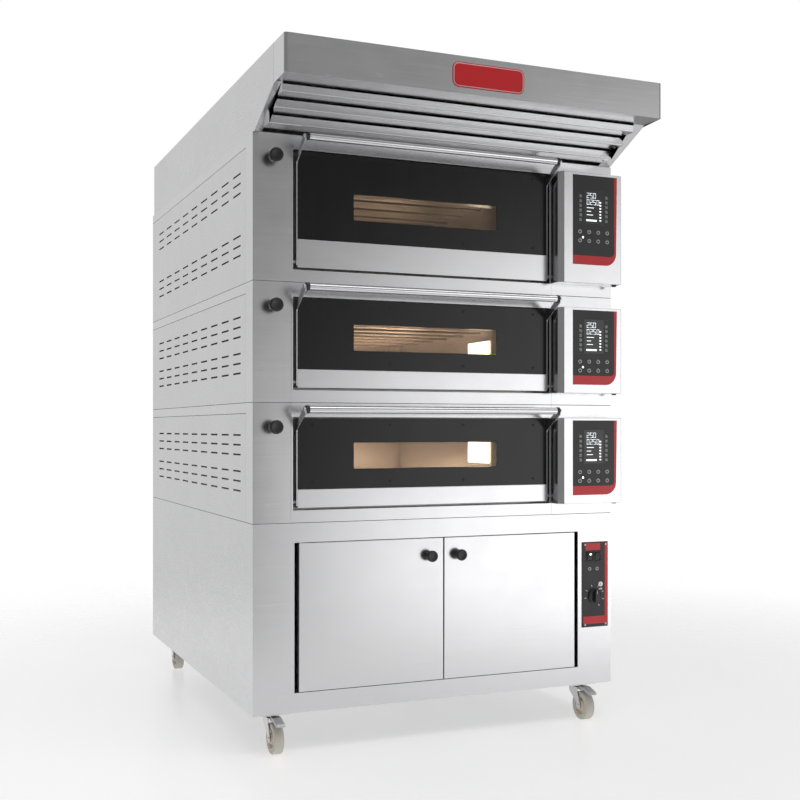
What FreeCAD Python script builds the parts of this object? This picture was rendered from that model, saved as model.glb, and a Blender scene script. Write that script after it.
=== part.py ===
import FreeCAD, Part
import operator
import os
from types import SimpleNamespace

import Sketcher

# Bakery deck oven: three baking decks stacked on a heated prover, under a steam hood, on castors.
# Millimetres. +Z is up and the decks face -Y. X is counted from the oven's middle, Z from the floor.
# In the helpers below, Y is counted from the front plane of the oven's casing.

doc = FreeCAD.newDocument("DeckOven")

# Driving dimensions: alias, value, what it is.
DIMENSIONS = [
    ("width", 1385, "casing width"),
    ("depth", 1676, "casing depth"),
    ("front", -685, "front plane of the casing, from the origin"),
    ("castor_height", 132, "floor to the underside of the base"),
    ("base_height", 634, "prover module"),
    ("low_deck", 402, "bottom and middle deck modules"),
    ("tall_deck", 490, "top deck module"),
    ("hood_height", 226, "hood, from the top deck to its roof"),
    ("hood_reach", 330, "how far the hood stands forward"),
    ("hood_inset", 6, "hood sides inside the casing sides"),
    ("fascia_height", 123, "hood fascia"),
    ("hood_lip", 105, "level part of the hood's lower edge"),
    ("skin", 2, "casing sheet"),
    ("liner", 3, "chamber sheet"),
    ("corner_return", 86, "front columns wrapped round the sides"),
    ("top_band", 36, "level band over each side panel"),
    ("door_centre", -63, "middle of the deck doors across the oven"),
    ("opening_width", 982, "door recess"),
    ("low_opening", 312, "door recess, low decks"),
    ("tall_opening", 402, "door recess, tall deck"),
    ("sill", 42, "deck underside to the door recess"),
    ("door_width", 954, "door between its side arms"),
    ("door_depth", 40, "door casing behind the glass"),
    ("door_foot", 8, "gap under a door"),
    ("door_head", 4, "gap over a door"),
    ("low_band", 62, "steel band, low doors"),
    ("tall_band", 95, "steel band, tall door"),
    ("glass", 4, "door glass"),
    ("window_width", 549, "door window"),
    ("window_height", 88, "door window"),
    ("low_window", 137, "recess floor to the window, low decks"),
    ("tall_window", 179, "recess floor to the window, tall deck"),
    ("pivot_rise", 27, "hinge pin over the recess floor"),
    ("pivot_depth", 12, "hinge pin behind the front plane"),
    ("pin_radius", 6, "hinge pins"),
    ("running_fit", 0.05, "radial clearance round a pin"),
    ("arm", 4, "door side arms"),
    ("handle_reach", 92, "handle ahead of the front plane"),
    ("handle_rise", 24, "handle over the top of the recess"),
    ("tube_radius", 12, "handle tube"),
    ("collar_radius", 13.5, "handle end collars"),
    ("collar_length", 11, "handle end collars"),
    ("chamber_width", 900, "baking chamber"),
    ("chamber_depth", 1250, "baking chamber"),
    ("chamber_front", 54, "front plate of the chamber"),
    ("low_chamber", 180, "stone to ceiling, low decks"),
    ("tall_chamber", 270, "stone to ceiling, tall deck"),
    ("stone_top", 126, "deck underside to the top of the stone"),
    ("stone", 20, "refractory slab"),
    ("element_radius", 4.25, "tubular heating elements"),
    ("box_left", 431.5, "left side of the control boxes"),
    ("box_reach", 70, "control boxes ahead of the front plane"),
    ("box_chamfer", 17, "slanted corner of the control boxes"),
    ("damper_place", -624, "damper knobs across the oven"),
    ("damper_drop", 34, "damper knobs under the top of the recess"),
    ("damper_radius", 23, "damper knob"),
    ("rod_radius", 5, "damper rod"),
    ("prover_half", 549, "half the prover opening"),
    ("prover_sill", 66, "rail under the prover doors"),
    ("prover_opening", 502, "height of the prover opening"),
    ("prover_door", 532.5, "width of a prover door"),
    ("prover_depth", 1260, "prover cavity"),
    ("panel_left", 566.5, "prover control plate"),
    ("panel_width", 111, "prover control plate"),
    ("panel_foot", 211, "base underside to the control plate"),
    ("panel_height", 316.5, "prover control plate"),
    ("castor_left", -612.5, "left castors across the oven"),
    ("castor_right", 580.5, "right castors across the oven"),
    ("castor_front", 48, "front castors behind the front plane"),
    ("castor_rear", 1546, "rear castors behind the front plane"),
    ("trail", 36, "wheel axle ahead of the swivel"),
    ("wheel_radius", 52, "castor wheel"),
    ("wheel_width", 34, "castor wheel"),
    ("flue_radius", 75, "flue collar"),
    ("rear_reach", 24, "cable gland behind the rear panel"),
]

sheet = doc.addObject("Spreadsheet::Sheet", "Dims")
for row, (alias, value, note) in enumerate(DIMENSIONS, start=1):
    sheet.set(f"A{row}", note)
    sheet.set(f"B{row}", str(value))
    sheet.setAlias(f"B{row}", alias)
doc.recompute()


class Size:
    """A length kept twice: as its present value and as a formula on the sheet."""

    def __init__(self, text, value):
        self.text = text
        self.value = value

    def joined(self, sign, other, work):
        other = size(other)
        return Size(f"({self.text} {sign} {other.text})", work(self.value, other.value))

    def __add__(self, other):
        return self.joined("+", other, operator.add)

    def __sub__(self, other):
        return self.joined("-", other, operator.sub)

    def __mul__(self, other):
        return self.joined("*", other, operator.mul)

    def __truediv__(self, other):
        return self.joined("/", other, operator.truediv)

    def __radd__(self, other):
        return size(other) + self

    def __rsub__(self, other):
        return size(other) - self

    def __rmul__(self, other):
        return size(other) * self

    def __neg__(self):
        return size(0) - self


def size(value):
    return value if isinstance(value, Size) else Size(repr(value), value)


d = SimpleNamespace(**{alias: Size("Dims." + alias, value) for alias, value, note in DIMENSIONS})


def bind(item, **lengths):
    for name, length in lengths.items():
        item.setExpression(name, size(length).text)


def place(item, x, y, z):
    """Bind the place of an item. Y is counted from the casing's front plane."""
    for axis, length in zip("xyz", (x, d.front + y, z)):
        item.setExpression(f"Placement.Base.{axis}", size(length).text)
    return item


# Levels of the stacked modules and the main edges across the oven.
base = d.castor_height
base_head = base + d.base_height
left, right = -d.width / 2, d.width / 2
recess_left, recess_right = d.door_centre - d.opening_width / 2, d.door_centre + d.opening_width / 2
door_left, door_right = d.door_centre - d.door_width / 2, d.door_centre + d.door_width / 2
roof = base_head + 2 * d.low_deck + d.tall_deck
crown = roof + d.hood_height


def deck(name, foot, height, opening, band, window, chamber):
    """The levels and heights that differ from deck to deck."""
    sill = foot + d.sill
    stone = foot + d.stone_top
    return SimpleNamespace(name=name, foot=foot, head=foot + height, sill=sill, opening=opening,
                           lintel=sill + opening, band=band, window=sill + window,
                           stone=stone, ceiling=stone + chamber, rod=sill + opening - d.damper_drop)


LOW = (d.low_deck, d.low_opening, d.low_band, d.low_window, d.low_chamber)
TALL = (d.tall_deck, d.tall_opening, d.tall_band, d.tall_window, d.tall_chamber)
DECKS = [deck("bottom", base_head, *LOW), deck("middle", base_head + d.low_deck, *LOW),
         deck("top", base_head + 2 * d.low_deck, *TALL)]


# ---- helpers: plain solids -------------------------------------------------------------------

def slab(name, x, y, z):
    """A box from a low to a high place along each axis."""
    item = doc.addObject("Part::Box", name)
    bind(item, Length=size(x[1]) - x[0], Width=size(y[1]) - y[0], Height=size(z[1]) - z[0])
    return place(item, x[0], y[0], z[0])


TURNS = {
    "x": FreeCAD.Rotation(FreeCAD.Vector(0, 1, 0), 90),
    "y": FreeCAD.Rotation(FreeCAD.Vector(1, 0, 0), -90),
    "z": FreeCAD.Rotation(),
}


def rod(name, axis, x, y, z, radius, length):
    """A cylinder that starts at (x, y, z) and runs along an axis."""
    item = doc.addObject("Part::Cylinder", name)
    item.Placement = FreeCAD.Placement(FreeCAD.Vector(), TURNS[axis])
    bind(item, Radius=radius, Height=length)
    return place(item, x, y, z)


def cut(name, base, *tools):
    tool = tools[0] if len(tools) == 1 else join(name + "_tools", *tools)
    item = doc.addObject("Part::Cut", name)
    item.Base, item.Tool = base, tool
    return item


def join(name, *items):
    item = doc.addObject("Part::MultiFuse", name)
    item.Shapes = list(items)
    item.Refine = True
    return item


def hollow(name, x, y, z, along, wall):
    """A square tube: a slab with a smaller one taken out from end to end."""
    spans = {"x": x, "y": y, "z": z}
    inner = {a: s if a == along else (s[0] + wall, s[1] - wall) for a, s in spans.items()}
    return cut(name, slab(name + "_outer", x, y, z),
               slab(name + "_bore", inner["x"], inner["y"], inner["z"]))


# ---- helpers: sketched solids ----------------------------------------------------------------

def new_body(name, plane, corners):
    """A PartDesign body with one closed, fully dimensioned outline on an origin plane."""
    body = doc.addObject("PartDesign::Body", name)
    return body, outline(body, name + "_outline", plane, corners)


def origin_plane(body, plane):
    return next(f for f in body.Origin.OriginFeatures if f.Role == plane)


def outline(body, name, plane, corners):
    sketch = body.newObject("Sketcher::SketchObject", name)
    sketch.AttachmentSupport = [(origin_plane(body, plane), "")]
    sketch.MapMode = "FlatFace"
    trace(sketch, corners)
    return sketch


def trace(sketch, corners):
    """Add one closed polygon; each corner is tied to the sheet by two distances from the origin."""
    start = sketch.GeometryCount
    corners = [(size(u), size(v)) for u, v in corners]
    points = [FreeCAD.Vector(u.value, v.value, 0) for u, v in corners]
    for here, there in zip(points, points[1:] + points[:1]):
        sketch.addGeometry(Part.LineSegment(here, there))
    for k in range(len(points)):
        after = start + (k + 1) % len(points)
        sketch.addConstraint(Sketcher.Constraint("Coincident", start + k, 2, after, 1))
    for k, corner in enumerate(corners):
        for kind, axis, length in zip(("DistanceX", "DistanceY"), (-2, -1), corner):
            if length.value == 0:
                sketch.addConstraint(Sketcher.Constraint("PointOnObject", start + k, 1, axis))
                continue
            index = sketch.addConstraint(Sketcher.Constraint(kind, -1, 1, start + k, 1, length.value))
            sketch.setExpression(f"Constraints[{index}]", length.text)


def rectangle(low, high):
    return [(low[0], low[1]), (high[0], low[1]), (high[0], high[1]), (low[0], high[1])]


def pad(body, sketch, length, both=False):
    item = body.newObject("PartDesign::Pad", sketch.Name + "_pad")
    item.Profile = sketch
    bind(item, Length=length)
    item.Midplane = both
    body.Tip = item
    sketch.Visibility = False
    return item


def plate(name, plane, corners, length, x, y, z, both=False):
    """An outline padded to a thickness, placed at (x, y, z)."""
    body, sketch = new_body(name, plane, corners)
    pad(body, sketch, length, both)
    return place(body, x, y, z)


def turned(name, corners, x, y, z, axis="x"):
    """A solid of revolution; corners are (along the axis, radius)."""
    plane = {"x": "XY_Plane", "y": "XY_Plane", "z": "XZ_Plane"}[axis]
    points = corners if axis == "x" else [(radius, along) for along, radius in corners]
    body, sketch = new_body(name, plane, points)
    item = body.newObject("PartDesign::Revolution", name + "_turn")
    item.Profile = sketch
    item.ReferenceAxis = (sketch, ["H_Axis"] if axis == "x" else ["V_Axis"])
    item.Angle = 360
    body.Tip = item
    return place(body, x, y, z)


NODES = []


def node(label, *members):
    """File one or more separate solids under one named node."""
    if len(members) == 1:
        item = members[0]
    else:
        item = doc.addObject("Part::Compound", label + "_group")
        item.Links = list(members)
    item.Label = label
    NODES.append(item)
    return item


# ---- prover base -----------------------------------------------------------------------------

BEAM = 40                      # square tube
BEAM_WALL = 3
BEAM_CLEAR = 4                 # base frame to the front and side sheets
BEAM_CLEAR_BACK = 6            # and to the back sheet
CASTOR_PAD = {"thick": 6, "half_width": 55, "half_length": 60}


def base_frame():
    foot = base + CASTOR_PAD["thick"]
    head = foot + BEAM
    outer_left, outer_right = left + BEAM_CLEAR, right - BEAM_CLEAR
    front, back = BEAM_CLEAR, d.depth - BEAM_CLEAR_BACK
    beams = [
        hollow("left_beam", (outer_left, outer_left + BEAM), (front, back), (foot, head), "y", BEAM_WALL),
        hollow("right_beam", (outer_right - BEAM, outer_right), (front, back), (foot, head), "y", BEAM_WALL),
    ]
    between = (outer_left + BEAM, outer_right - BEAM)
    for number, y in enumerate((front, d.depth / 2 - BEAM / 2, back - BEAM), start=1):
        beams.append(hollow(f"cross_beam_{number}", between, (y, y + BEAM), (foot, head), "x", BEAM_WALL))
    wide, long = CASTOR_PAD["half_width"], CASTOR_PAD["half_length"]
    for name, x, y in castor_places():
        pad_x = (outer_left, x + wide) if x.value < 0 else (x - wide, outer_right)
        pad_y = (front, y + long) if "front" in name else (y - long, back)
        beams.append(slab(name + "_pad", pad_x, pad_y, (base, foot)))
    beams.append(slab("floor_pan", (outer_left, outer_right), (front, back), (head, head + d.skin)))
    node("base_frame", *beams)


PROVER_JAMB = 40               # depth of the folded jambs, sill and head
RUNNER = {"levels": 5, "lowest": 55, "pitch": 90, "wide": 12, "thick": 3, "span": (60, 1160)}
RACK_POST = {"half": 10, "deep": 20, "places": (80, 600, 1120)}
PROVER_HEATER = {"half": 500, "rod_half": 450, "places": (1200, 1230, 1260), "rise": 18, "front": 1175,
                 "height": 40, "sheet": 2}


def prover_shell():
    half, sill, head = d.prover_half, base + d.prover_sill, base + d.prover_sill + d.prover_opening
    front = (0, d.skin)
    hole = slab("switch_window", (d.panel_left + 14, d.panel_left + d.panel_width - 14), (-1, d.skin + 1),
                (base + d.panel_foot + 16, base + d.panel_foot + d.panel_height - 16))
    stile = slab("right_stile_blank", (half, right), front, (sill, head))
    jamb_y = (d.skin, PROVER_JAMB)
    node("prover_front_frame",
         slab("left_stile", (left, -half), front, (sill, head)),
         cut("right_stile", stile, hole),
         slab("top_rail", (left, right), front, (head, base_head)),
         slab("bottom_rail", (left, right), front, (base, sill)),
         slab("left_jamb", (-half - d.skin, -half), jamb_y, (sill, head)),
         slab("right_jamb", (half, half + d.skin), jamb_y, (sill, head)),
         bored_shelf("sill_shelf", sill - d.skin),
         bored_shelf("head_shelf", head))
    mouth = PROVER_JAMB + 2
    inner, back = half - 4, mouth + d.prover_depth
    depth_span = (mouth, back)
    node("prover_liner",
         slab("liner_left", (-inner - d.skin, -inner), depth_span, (sill, head)),
         slab("liner_right", (inner, inner + d.skin), depth_span, (sill, head)),
         slab("liner_floor", (-inner - d.skin, inner + d.skin), depth_span, (sill - d.skin, sill)),
         slab("liner_ceiling", (-inner - d.skin, inner + d.skin), depth_span, (head, head + d.skin)),
         slab("liner_back", (-inner - d.skin, inner + d.skin), (back, back + d.skin),
              (sill - d.skin, head + d.skin)))
    post, wide = RACK_POST["half"], RUNNER["wide"]
    runners = [slab(f"rack_post_{n}", (-post, post), (y, y + RACK_POST["deep"]), (sill, head))
               for n, y in enumerate(RACK_POST["places"], start=1)]
    for level in range(RUNNER["levels"]):
        low = sill + RUNNER["lowest"] + RUNNER["pitch"] * level
        for side, x in enumerate((-inner, -post - wide, post, inner - wide)):
            runners.append(slab(f"runner_{level + 1}_{side + 1}", (x, x + wide), RUNNER["span"],
                                (low, low + RUNNER["thick"])))
    node("tray_runners", *runners)
    rod_half, cover_half, sheet = PROVER_HEATER["rod_half"], PROVER_HEATER["half"], PROVER_HEATER["sheet"]
    rods = [rod(f"prover_element_{n}", "x", -rod_half, y, sill + PROVER_HEATER["rise"], d.element_radius,
                2 * rod_half)
            for n, y in enumerate(PROVER_HEATER["places"], start=1)]
    cover_y = (PROVER_HEATER["front"], back - 12)
    cover_head = sill + PROVER_HEATER["height"]
    span = (-cover_half, cover_half)
    node("prover_heater", *rods,
         slab("heater_cover_top", span, cover_y, (cover_head - sheet, cover_head)),
         slab("heater_cover_front", span, (cover_y[0], cover_y[0] + sheet), (sill, cover_head - sheet)),
         slab("heater_cover_left", (-cover_half - sheet, -cover_half), cover_y, (sill, cover_head)),
         slab("heater_cover_right", (cover_half, cover_half + sheet), cover_y, (sill, cover_head)))


PROVER_PIVOT_IN = 22     # prover hinge pins, in from the jamb
PROVER_PIVOT_BACK = 8    # and behind the front plane
PROVER_PIN = 5
PROVER_KNOB = {"out": 56.5, "rise": 505}     # knob from the middle of the cabinet, and over its base
PROVER_DOOR = {"sheet": 1.5, "span_y": (-2, 36), "gap": 2, "half_split": 1.5}


def prover_pivot(side):
    return side * (d.prover_half - PROVER_PIVOT_IN)


def bored_shelf(name, low):
    """Sill or head of the prover opening, with the seats of the two hinge pins."""
    blank = slab(name + "_blank", (-d.prover_half, d.prover_half), (d.skin, PROVER_JAMB),
                 (low, low + d.skin))
    seats = [rod(f"{name}_seat_{n}", "z", prover_pivot(side), PROVER_PIVOT_BACK, low - 1, PROVER_PIN, 4)
             for n, side in enumerate((-1, 1), start=1)]
    return cut(name, blank, *seats)


def prover_door(side):
    word = "left" if side < 0 else "right"
    sill, head = base + d.prover_sill, base + d.prover_sill + d.prover_opening
    split, sheet, (front, back) = (PROVER_DOOR[key] for key in ("half_split", "sheet", "span_y"))
    span = (-split - d.prover_door, -split) if side < 0 else (split, split + d.prover_door)
    low, high = sill + PROVER_DOOR["gap"], head - PROVER_DOOR["gap"]
    name = f"prover_door_{word}"
    shell = slab(name + "_block", span, (front, back), (low, high))
    inside = slab(name + "_inside", (span[0] + sheet, span[1] - sheet), (front + sheet, back - sheet),
                  (low + sheet, high - sheet))
    x, seat = prover_pivot(side), PROVER_PIN + d.running_fit
    pan = cut(name + "_pan", shell, inside,
              rod(name + "_foot_bore", "z", x, PROVER_PIVOT_BACK, low - 1, seat, 13),
              rod(name + "_head_bore", "z", x, PROVER_PIVOT_BACK, high - 12, seat, 13))
    grip = turned(name + "_knob", [(0, 0), (0, 9), (-14, 9), (-18, 20), (-30, 20), (-35, 15), (-35, 0)],
                  side * PROVER_KNOB["out"], front, base + PROVER_KNOB["rise"], axis="y")
    node(name, pan, grip)


ROCKERS = (("left", 32), ("right", 64))      # rocker centres, from the plate's left edge
ROCKER_RISE = 263                            # over the plate's foot
DIAL_RISE, DIAL_PLACE = 115, 52
LAMP_RISE, LAMP_PLACE = 158, 79


def prover_controls():
    foot = base + d.panel_foot
    x0 = d.panel_left
    plate_blank = slab("plate_blank", (x0, x0 + d.panel_width), (-3, 0), (foot, foot + d.panel_height))
    holes = [rod("dial_hole", "y", x0 + DIAL_PLACE, -4, foot + DIAL_RISE, 5, 5),
             rod("lamp_hole", "y", x0 + LAMP_PLACE, -4, foot + LAMP_RISE, 6, 5)]
    gear = []
    for word, place_x in ROCKERS:
        x, z = x0 + place_x, foot + ROCKER_RISE
        holes.append(slab(f"rocker_hole_{word}", (x - 12, x + 12), (-4, 1), (z - 17, z + 17)))
        gear.append(slab(f"switch_body_{word}", (x - 12, x + 12), (8, 32), (z - 16, z + 16)))
        rocker = plate(f"rocker_{word}", "YZ_Plane",
                       [(4, -11), (-4, -15), (-6, 0), (-10, 14), (3, 11)], 20, x, -1, z, both=True)
        node(f"rocker_{word}", rocker)
    node("prover_control_plate", cut("control_plate", plate_blank, *holes))
    dial_x, dial_z = x0 + DIAL_PLACE, foot + DIAL_RISE
    gear += [slab("thermostat_body", (dial_x - 22, dial_x + 22), (8, 40), (dial_z - 22, dial_z + 22)),
             rod("thermostat_shaft", "y", dial_x, -16, dial_z, 3, 24),
             rod("lamp_holder", "y", x0 + LAMP_PLACE, 3, foot + LAMP_RISE, 8, 20)]
    node("prover_switchgear", *gear)
    node("indicator_lens", turned("indicator", [(3, 0), (3, 6), (-3, 6), (-6, 4), (-7, 0)],
                                  x0 + LAMP_PLACE, 0, foot + LAMP_RISE, axis="y"))
    skirt = turned("dial_skirt", [(-4, 0), (-4, 27), (-7, 27), (-9, 22), (-9, 0)], dial_x, 0, dial_z, "y")
    grip = slab("dial_grip", (dial_x - 7, dial_x + 7), (-24, -9), (dial_z - 24, dial_z + 24))
    shaft_bore = rod("dial_bore", "y", dial_x, -17, dial_z, 3 + d.running_fit, 20)
    node("thermostat_knob", cut("dial", join("dial_blank", skirt, grip), shaft_bore))


# ---- decks -----------------------------------------------------------------------------------

JAMB = 8                       # box-section jambs at both sides of a door recess
cavity_left = d.door_centre - d.chamber_width / 2
cavity_right = d.door_centre + d.chamber_width / 2
cavity_front = d.chamber_front + d.liner
cavity_back = cavity_front + d.chamber_depth
FLUE = dict(x=(-664, -584), y=(1330, 1410))


def deck_frame(k):
    rail = (recess_left - JAMB, recess_right + JAMB)
    front, whole = (0, d.skin), (k.foot, k.head)
    hole = rod(k.name + "_damper_hole", "y", d.damper_place, -1, k.rod, d.rod_radius + d.running_fit, 4)
    column = slab(k.name + "_left_column_blank", (left, rail[0]), front, whole)
    pieces = [
        cut(k.name + "_left_column", column, hole),
        slab(k.name + "_right_column", (rail[1], right), front, whole),
        slab(k.name + "_left_return", (left, left + d.skin), (d.skin, d.corner_return), whole),
        slab(k.name + "_right_return", (right - d.skin, right), (d.skin, d.corner_return), whole),
        slab(k.name + "_top_rail", rail, front, (k.lintel, k.head)),
        slab(k.name + "_bottom_rail", rail, front, (k.foot, k.sill)),
        slab(k.name + "_lintel", (recess_left, recess_right), (d.skin, d.chamber_front),
             (k.lintel, k.lintel + d.skin)),
        slab(k.name + "_sill", (recess_left, recess_right), (d.skin, d.chamber_front),
             (k.sill - d.skin, k.sill)),
    ]
    for word, x in (("left", recess_left - JAMB), ("right", recess_right)):
        jamb = slab(f"{k.name}_{word}_jamb_blank", (x, x + JAMB), (0, d.chamber_front), (k.sill, k.lintel))
        seat = rod(f"{k.name}_{word}_seat", "x", x - 1, d.pivot_depth, k.sill + d.pivot_rise,
                   d.pin_radius, JAMB + 2)
        pieces.append(cut(f"{k.name}_{word}_jamb", jamb, seat))
        side = left if word == "left" else right - d.skin
        pieces.append(slab(f"{k.name}_{word}_band", (side, side + d.skin),
                           (d.corner_return, d.depth - d.skin), (k.head - d.top_band, k.head)))
    tray = slab(k.name + "_tray_blank", (left + d.skin, right - d.skin), (d.skin, d.depth - d.skin),
                (k.foot, k.foot + d.skin))
    if k.name == "bottom":
        pieces.append(tray)
    else:
        pieces.append(cut(k.name + "_tray", tray, slab(k.name + "_flue_way", FLUE["x"], FLUE["y"],
                                                       (k.foot - 1, k.foot + d.skin + 1))))
    node(k.name + "_deck_frame", *pieces)


def chamber(k):
    floor, pan = k.stone - d.stone, k.stone - d.stone - 25
    across = (cavity_left - d.liner, cavity_right + d.liner)
    along = (cavity_front, cavity_back)
    mouth_x = (recess_left - JAMB, recess_right + JAMB)
    mouth_y = (d.chamber_front, cavity_front)
    wall = slab(k.name + "_wall_blank", (across[0], cavity_left), along, (pan, k.ceiling))
    port = slab(k.name + "_steam_port", (across[0] - 1, cavity_left + 1), (cavity_back - 55, cavity_back - 8),
                (k.ceiling - 34, k.ceiling - 4))
    node(k.name + "_chamber",
         slab(k.name + "_mouth_foot", mouth_x, mouth_y, (k.sill - d.skin, k.stone)),
         slab(k.name + "_mouth_head", mouth_x, mouth_y, (k.ceiling, k.lintel + d.skin)),
         slab(k.name + "_mouth_left", (mouth_x[0], cavity_left), mouth_y, (k.stone, k.ceiling)),
         slab(k.name + "_mouth_right", (cavity_right, mouth_x[1]), mouth_y, (k.stone, k.ceiling)),
         cut(k.name + "_wall_left", wall, port),
         slab(k.name + "_wall_right", (cavity_right, across[1]), along, (pan, k.ceiling)),
         slab(k.name + "_pan", across, along, (pan - d.liner, pan)),
         slab(k.name + "_ceiling", across, along, (k.ceiling, k.ceiling + d.liner)),
         slab(k.name + "_back", across, (cavity_back, cavity_back + d.liner),
              (pan - d.liner, k.ceiling + d.liner)),
         slab(k.name + "_ledge_left", (cavity_left, cavity_left + 15), along, (floor - 3, floor)),
         slab(k.name + "_ledge_right", (cavity_right - 15, cavity_right), along, (floor - 3, floor)))


SEAL_GAP = 0.5                 # closed door's casing to the seal


# Lamp lens on each chamber's right wall: Y from the front plane, heights over the stone.
LENS = {"thick": 6, "y": (397, 575), "over_stone": (52, 134)}


def shared_internals():
    """Stones, elements, insulation and lamps of all three decks."""
    stones, elements, wool, lamps, seals = [], [], [], [], []
    third = d.chamber_depth / 3
    for k in DECKS:
        for n in range(3):
            y = cavity_front + n * third
            stones.append(slab(f"{k.name}_stone_{n + 1}", (cavity_left + 1, cavity_right - 1),
                               (y + 1, y + third - 1), (k.stone - d.stone, k.stone)))
        for n in range(8):
            y = cavity_front + 80 + 155 * n
            for layer, z in (("floor", k.stone - d.stone - 12), ("ceiling", k.ceiling - 14)):
                elements.append(rod(f"{k.name}_{layer}_element_{n + 1}", "x", cavity_left + 18, y, z,
                                    d.element_radius, d.chamber_width - 18 - 16))
        outer = cavity_left - d.liner, cavity_right + d.liner
        pan = k.stone - d.stone - 25 - d.liner
        blocks = {
            "left": ((left + 4, outer[0]), (90, 1230), (k.foot + 6, k.rod - 25)),
            "right": ((outer[1], outer[1] + 70), (60, cavity_back), (k.foot + 6, k.ceiling)),
            "top": (outer, (60, cavity_back), (k.ceiling + d.liner, k.head - 4)),
            "bottom": (outer, (60, cavity_back), (k.foot + 6, pan)),
            "back": (outer, (cavity_back + d.liner, cavity_back + 83), (k.foot + 6, k.head - 4)),
        }
        wool += [slab(f"{k.name}_wool_{word}", *spans) for word, spans in blocks.items()]
        lamps.append(slab(f"{k.name}_lamp_lens", (cavity_right - LENS["thick"], cavity_right), LENS["y"],
                          tuple(k.stone + z for z in LENS["over_stone"])))
        band = 8
        seal_x = (cavity_left - 18, cavity_right + 18)
        seal_z = (k.stone - 12, k.ceiling + 12)
        seal_y = (d.glass + d.door_depth + SEAL_GAP, d.chamber_front)
        seals += [slab(f"{k.name}_seal_foot", seal_x, seal_y, (seal_z[0] - band, seal_z[0])),
                  slab(f"{k.name}_seal_head", seal_x, seal_y, (seal_z[1], seal_z[1] + band)),
                  slab(f"{k.name}_seal_left", (seal_x[0], seal_x[0] + band), seal_y, seal_z),
                  slab(f"{k.name}_seal_right", (seal_x[1] - band, seal_x[1]), seal_y, seal_z)]
    for word, side in (("left", -1), ("right", 1)):
        x = (left + 4, -d.prover_half - 4) if side < 0 else (d.prover_half + 4, right - 4)
        wool.append(slab(f"prover_wool_{word}", x, (90 if side < 0 else 200, 42 + d.prover_depth),
                         (base + d.prover_sill, base_head - 6)))
    node("baking_stones", *stones)
    node("heating_elements", *elements)
    node("insulation", *wool)
    node("chamber_lamps", *lamps)
    node("door_seals", *seals)


LOUVRE_COLUMNS = 9
LOUVRE_PITCH = 160
LOUVRE_FIRST = 151             # first louvre's front end behind the front plane
LOUVRE_LENGTH = 97
LOUVRE_HEIGHT = 6
LOUVRE_GAP = 33.5              # row to row
# Height of the upper row of each bank of three, over the deck's foot.
LOUVRE_BANKS = {"bottom": (293, 169), "middle": (293, 169), "top": (381.5, 169)}


def side_panels():
    panels = []
    for k in DECKS:
        top = k.head - d.top_band - k.foot
        for word, x in (("left", left), ("right", right - d.skin)):
            name = f"{k.name}_{word}_side"
            body, sketch = new_body(name, "YZ_Plane", rectangle((d.corner_return, 0),
                                                               (d.depth - d.skin, top)))
            pad(body, sketch, d.skin)
            slots = body.newObject("Sketcher::SketchObject", name + "_louvres")
            slots.AttachmentSupport = [(origin_plane(body, "YZ_Plane"), "")]
            slots.MapMode = "FlatFace"
            for high in LOUVRE_BANKS[k.name]:
                for row in range(3):
                    z = size(high) - LOUVRE_GAP * row
                    trace(slots, rectangle((size(LOUVRE_FIRST), z - LOUVRE_HEIGHT / 2),
                                           (size(LOUVRE_FIRST + LOUVRE_LENGTH), z + LOUVRE_HEIGHT / 2)))
            doc.recompute()
            pocket = body.newObject("PartDesign::Pocket", name + "_slots")
            pocket.Profile = slots
            pocket.Type = "ThroughAll"
            pocket.Midplane = True
            body.Tip = pocket
            doc.recompute()
            rows = body.newObject("PartDesign::LinearPattern", name + "_columns")
            rows.Originals = [pocket]
            rows.Direction = (slots, ["H_Axis"])
            rows.Length = LOUVRE_PITCH * (LOUVRE_COLUMNS - 1)
            rows.Occurrences = LOUVRE_COLUMNS
            body.Tip = rows
            panels.append(place(body, x, 0, k.foot))
    for word, x in (("left", left), ("right", right - d.skin)):
        panels.append(slab(f"prover_{word}_side", (x, x + d.skin), (d.skin, d.depth - d.skin),
                           (base, base_head)))
    node("side_panels", *panels)


def steam_flue():
    x, y = FLUE["x"], FLUE["y"]
    z = (DECKS[0].rod - 60, roof)
    ports = [rod(k.name + "_port", "y", d.damper_place, y[0] - 1, k.rod, 25, 4) for k in DECKS]
    front = slab("flue_front_blank", x, (y[0], y[0] + 2), z)
    pieces = [cut("flue_front", front, *ports),
              slab("flue_back", x, (y[1] - 2, y[1]), z),
              slab("flue_left", (x[0], x[0] + 2), (y[0] + 2, y[1] - 2), z),
              slab("flue_right", (x[1] - 2, x[1]), (y[0] + 2, y[1] - 2), z)]
    wall = cavity_left - d.liner
    for k in DECKS:
        low, high = k.rod - 54, k.rod + 35
        box_y = (1240, y[0])
        plate_front = slab(k.name + "_vent_front_blank", (x[0], wall), (box_y[0], box_y[0] + 2), (low, high))
        way = rod(k.name + "_vent_way", "y", d.damper_place, box_y[0] - 1, k.rod,
                  d.rod_radius + d.running_fit, 4)
        pieces += [cut(k.name + "_vent_front", plate_front, way),
                   slab(k.name + "_vent_floor", (x[0], wall), box_y, (low - 2, low)),
                   slab(k.name + "_vent_roof", (x[0], wall), box_y, (high, high + 2)),
                   slab(k.name + "_vent_left", (x[0], x[0] + 2), (box_y[0] + 2, box_y[1]), (low, high))]
    node("steam_flue", *pieces)


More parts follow.
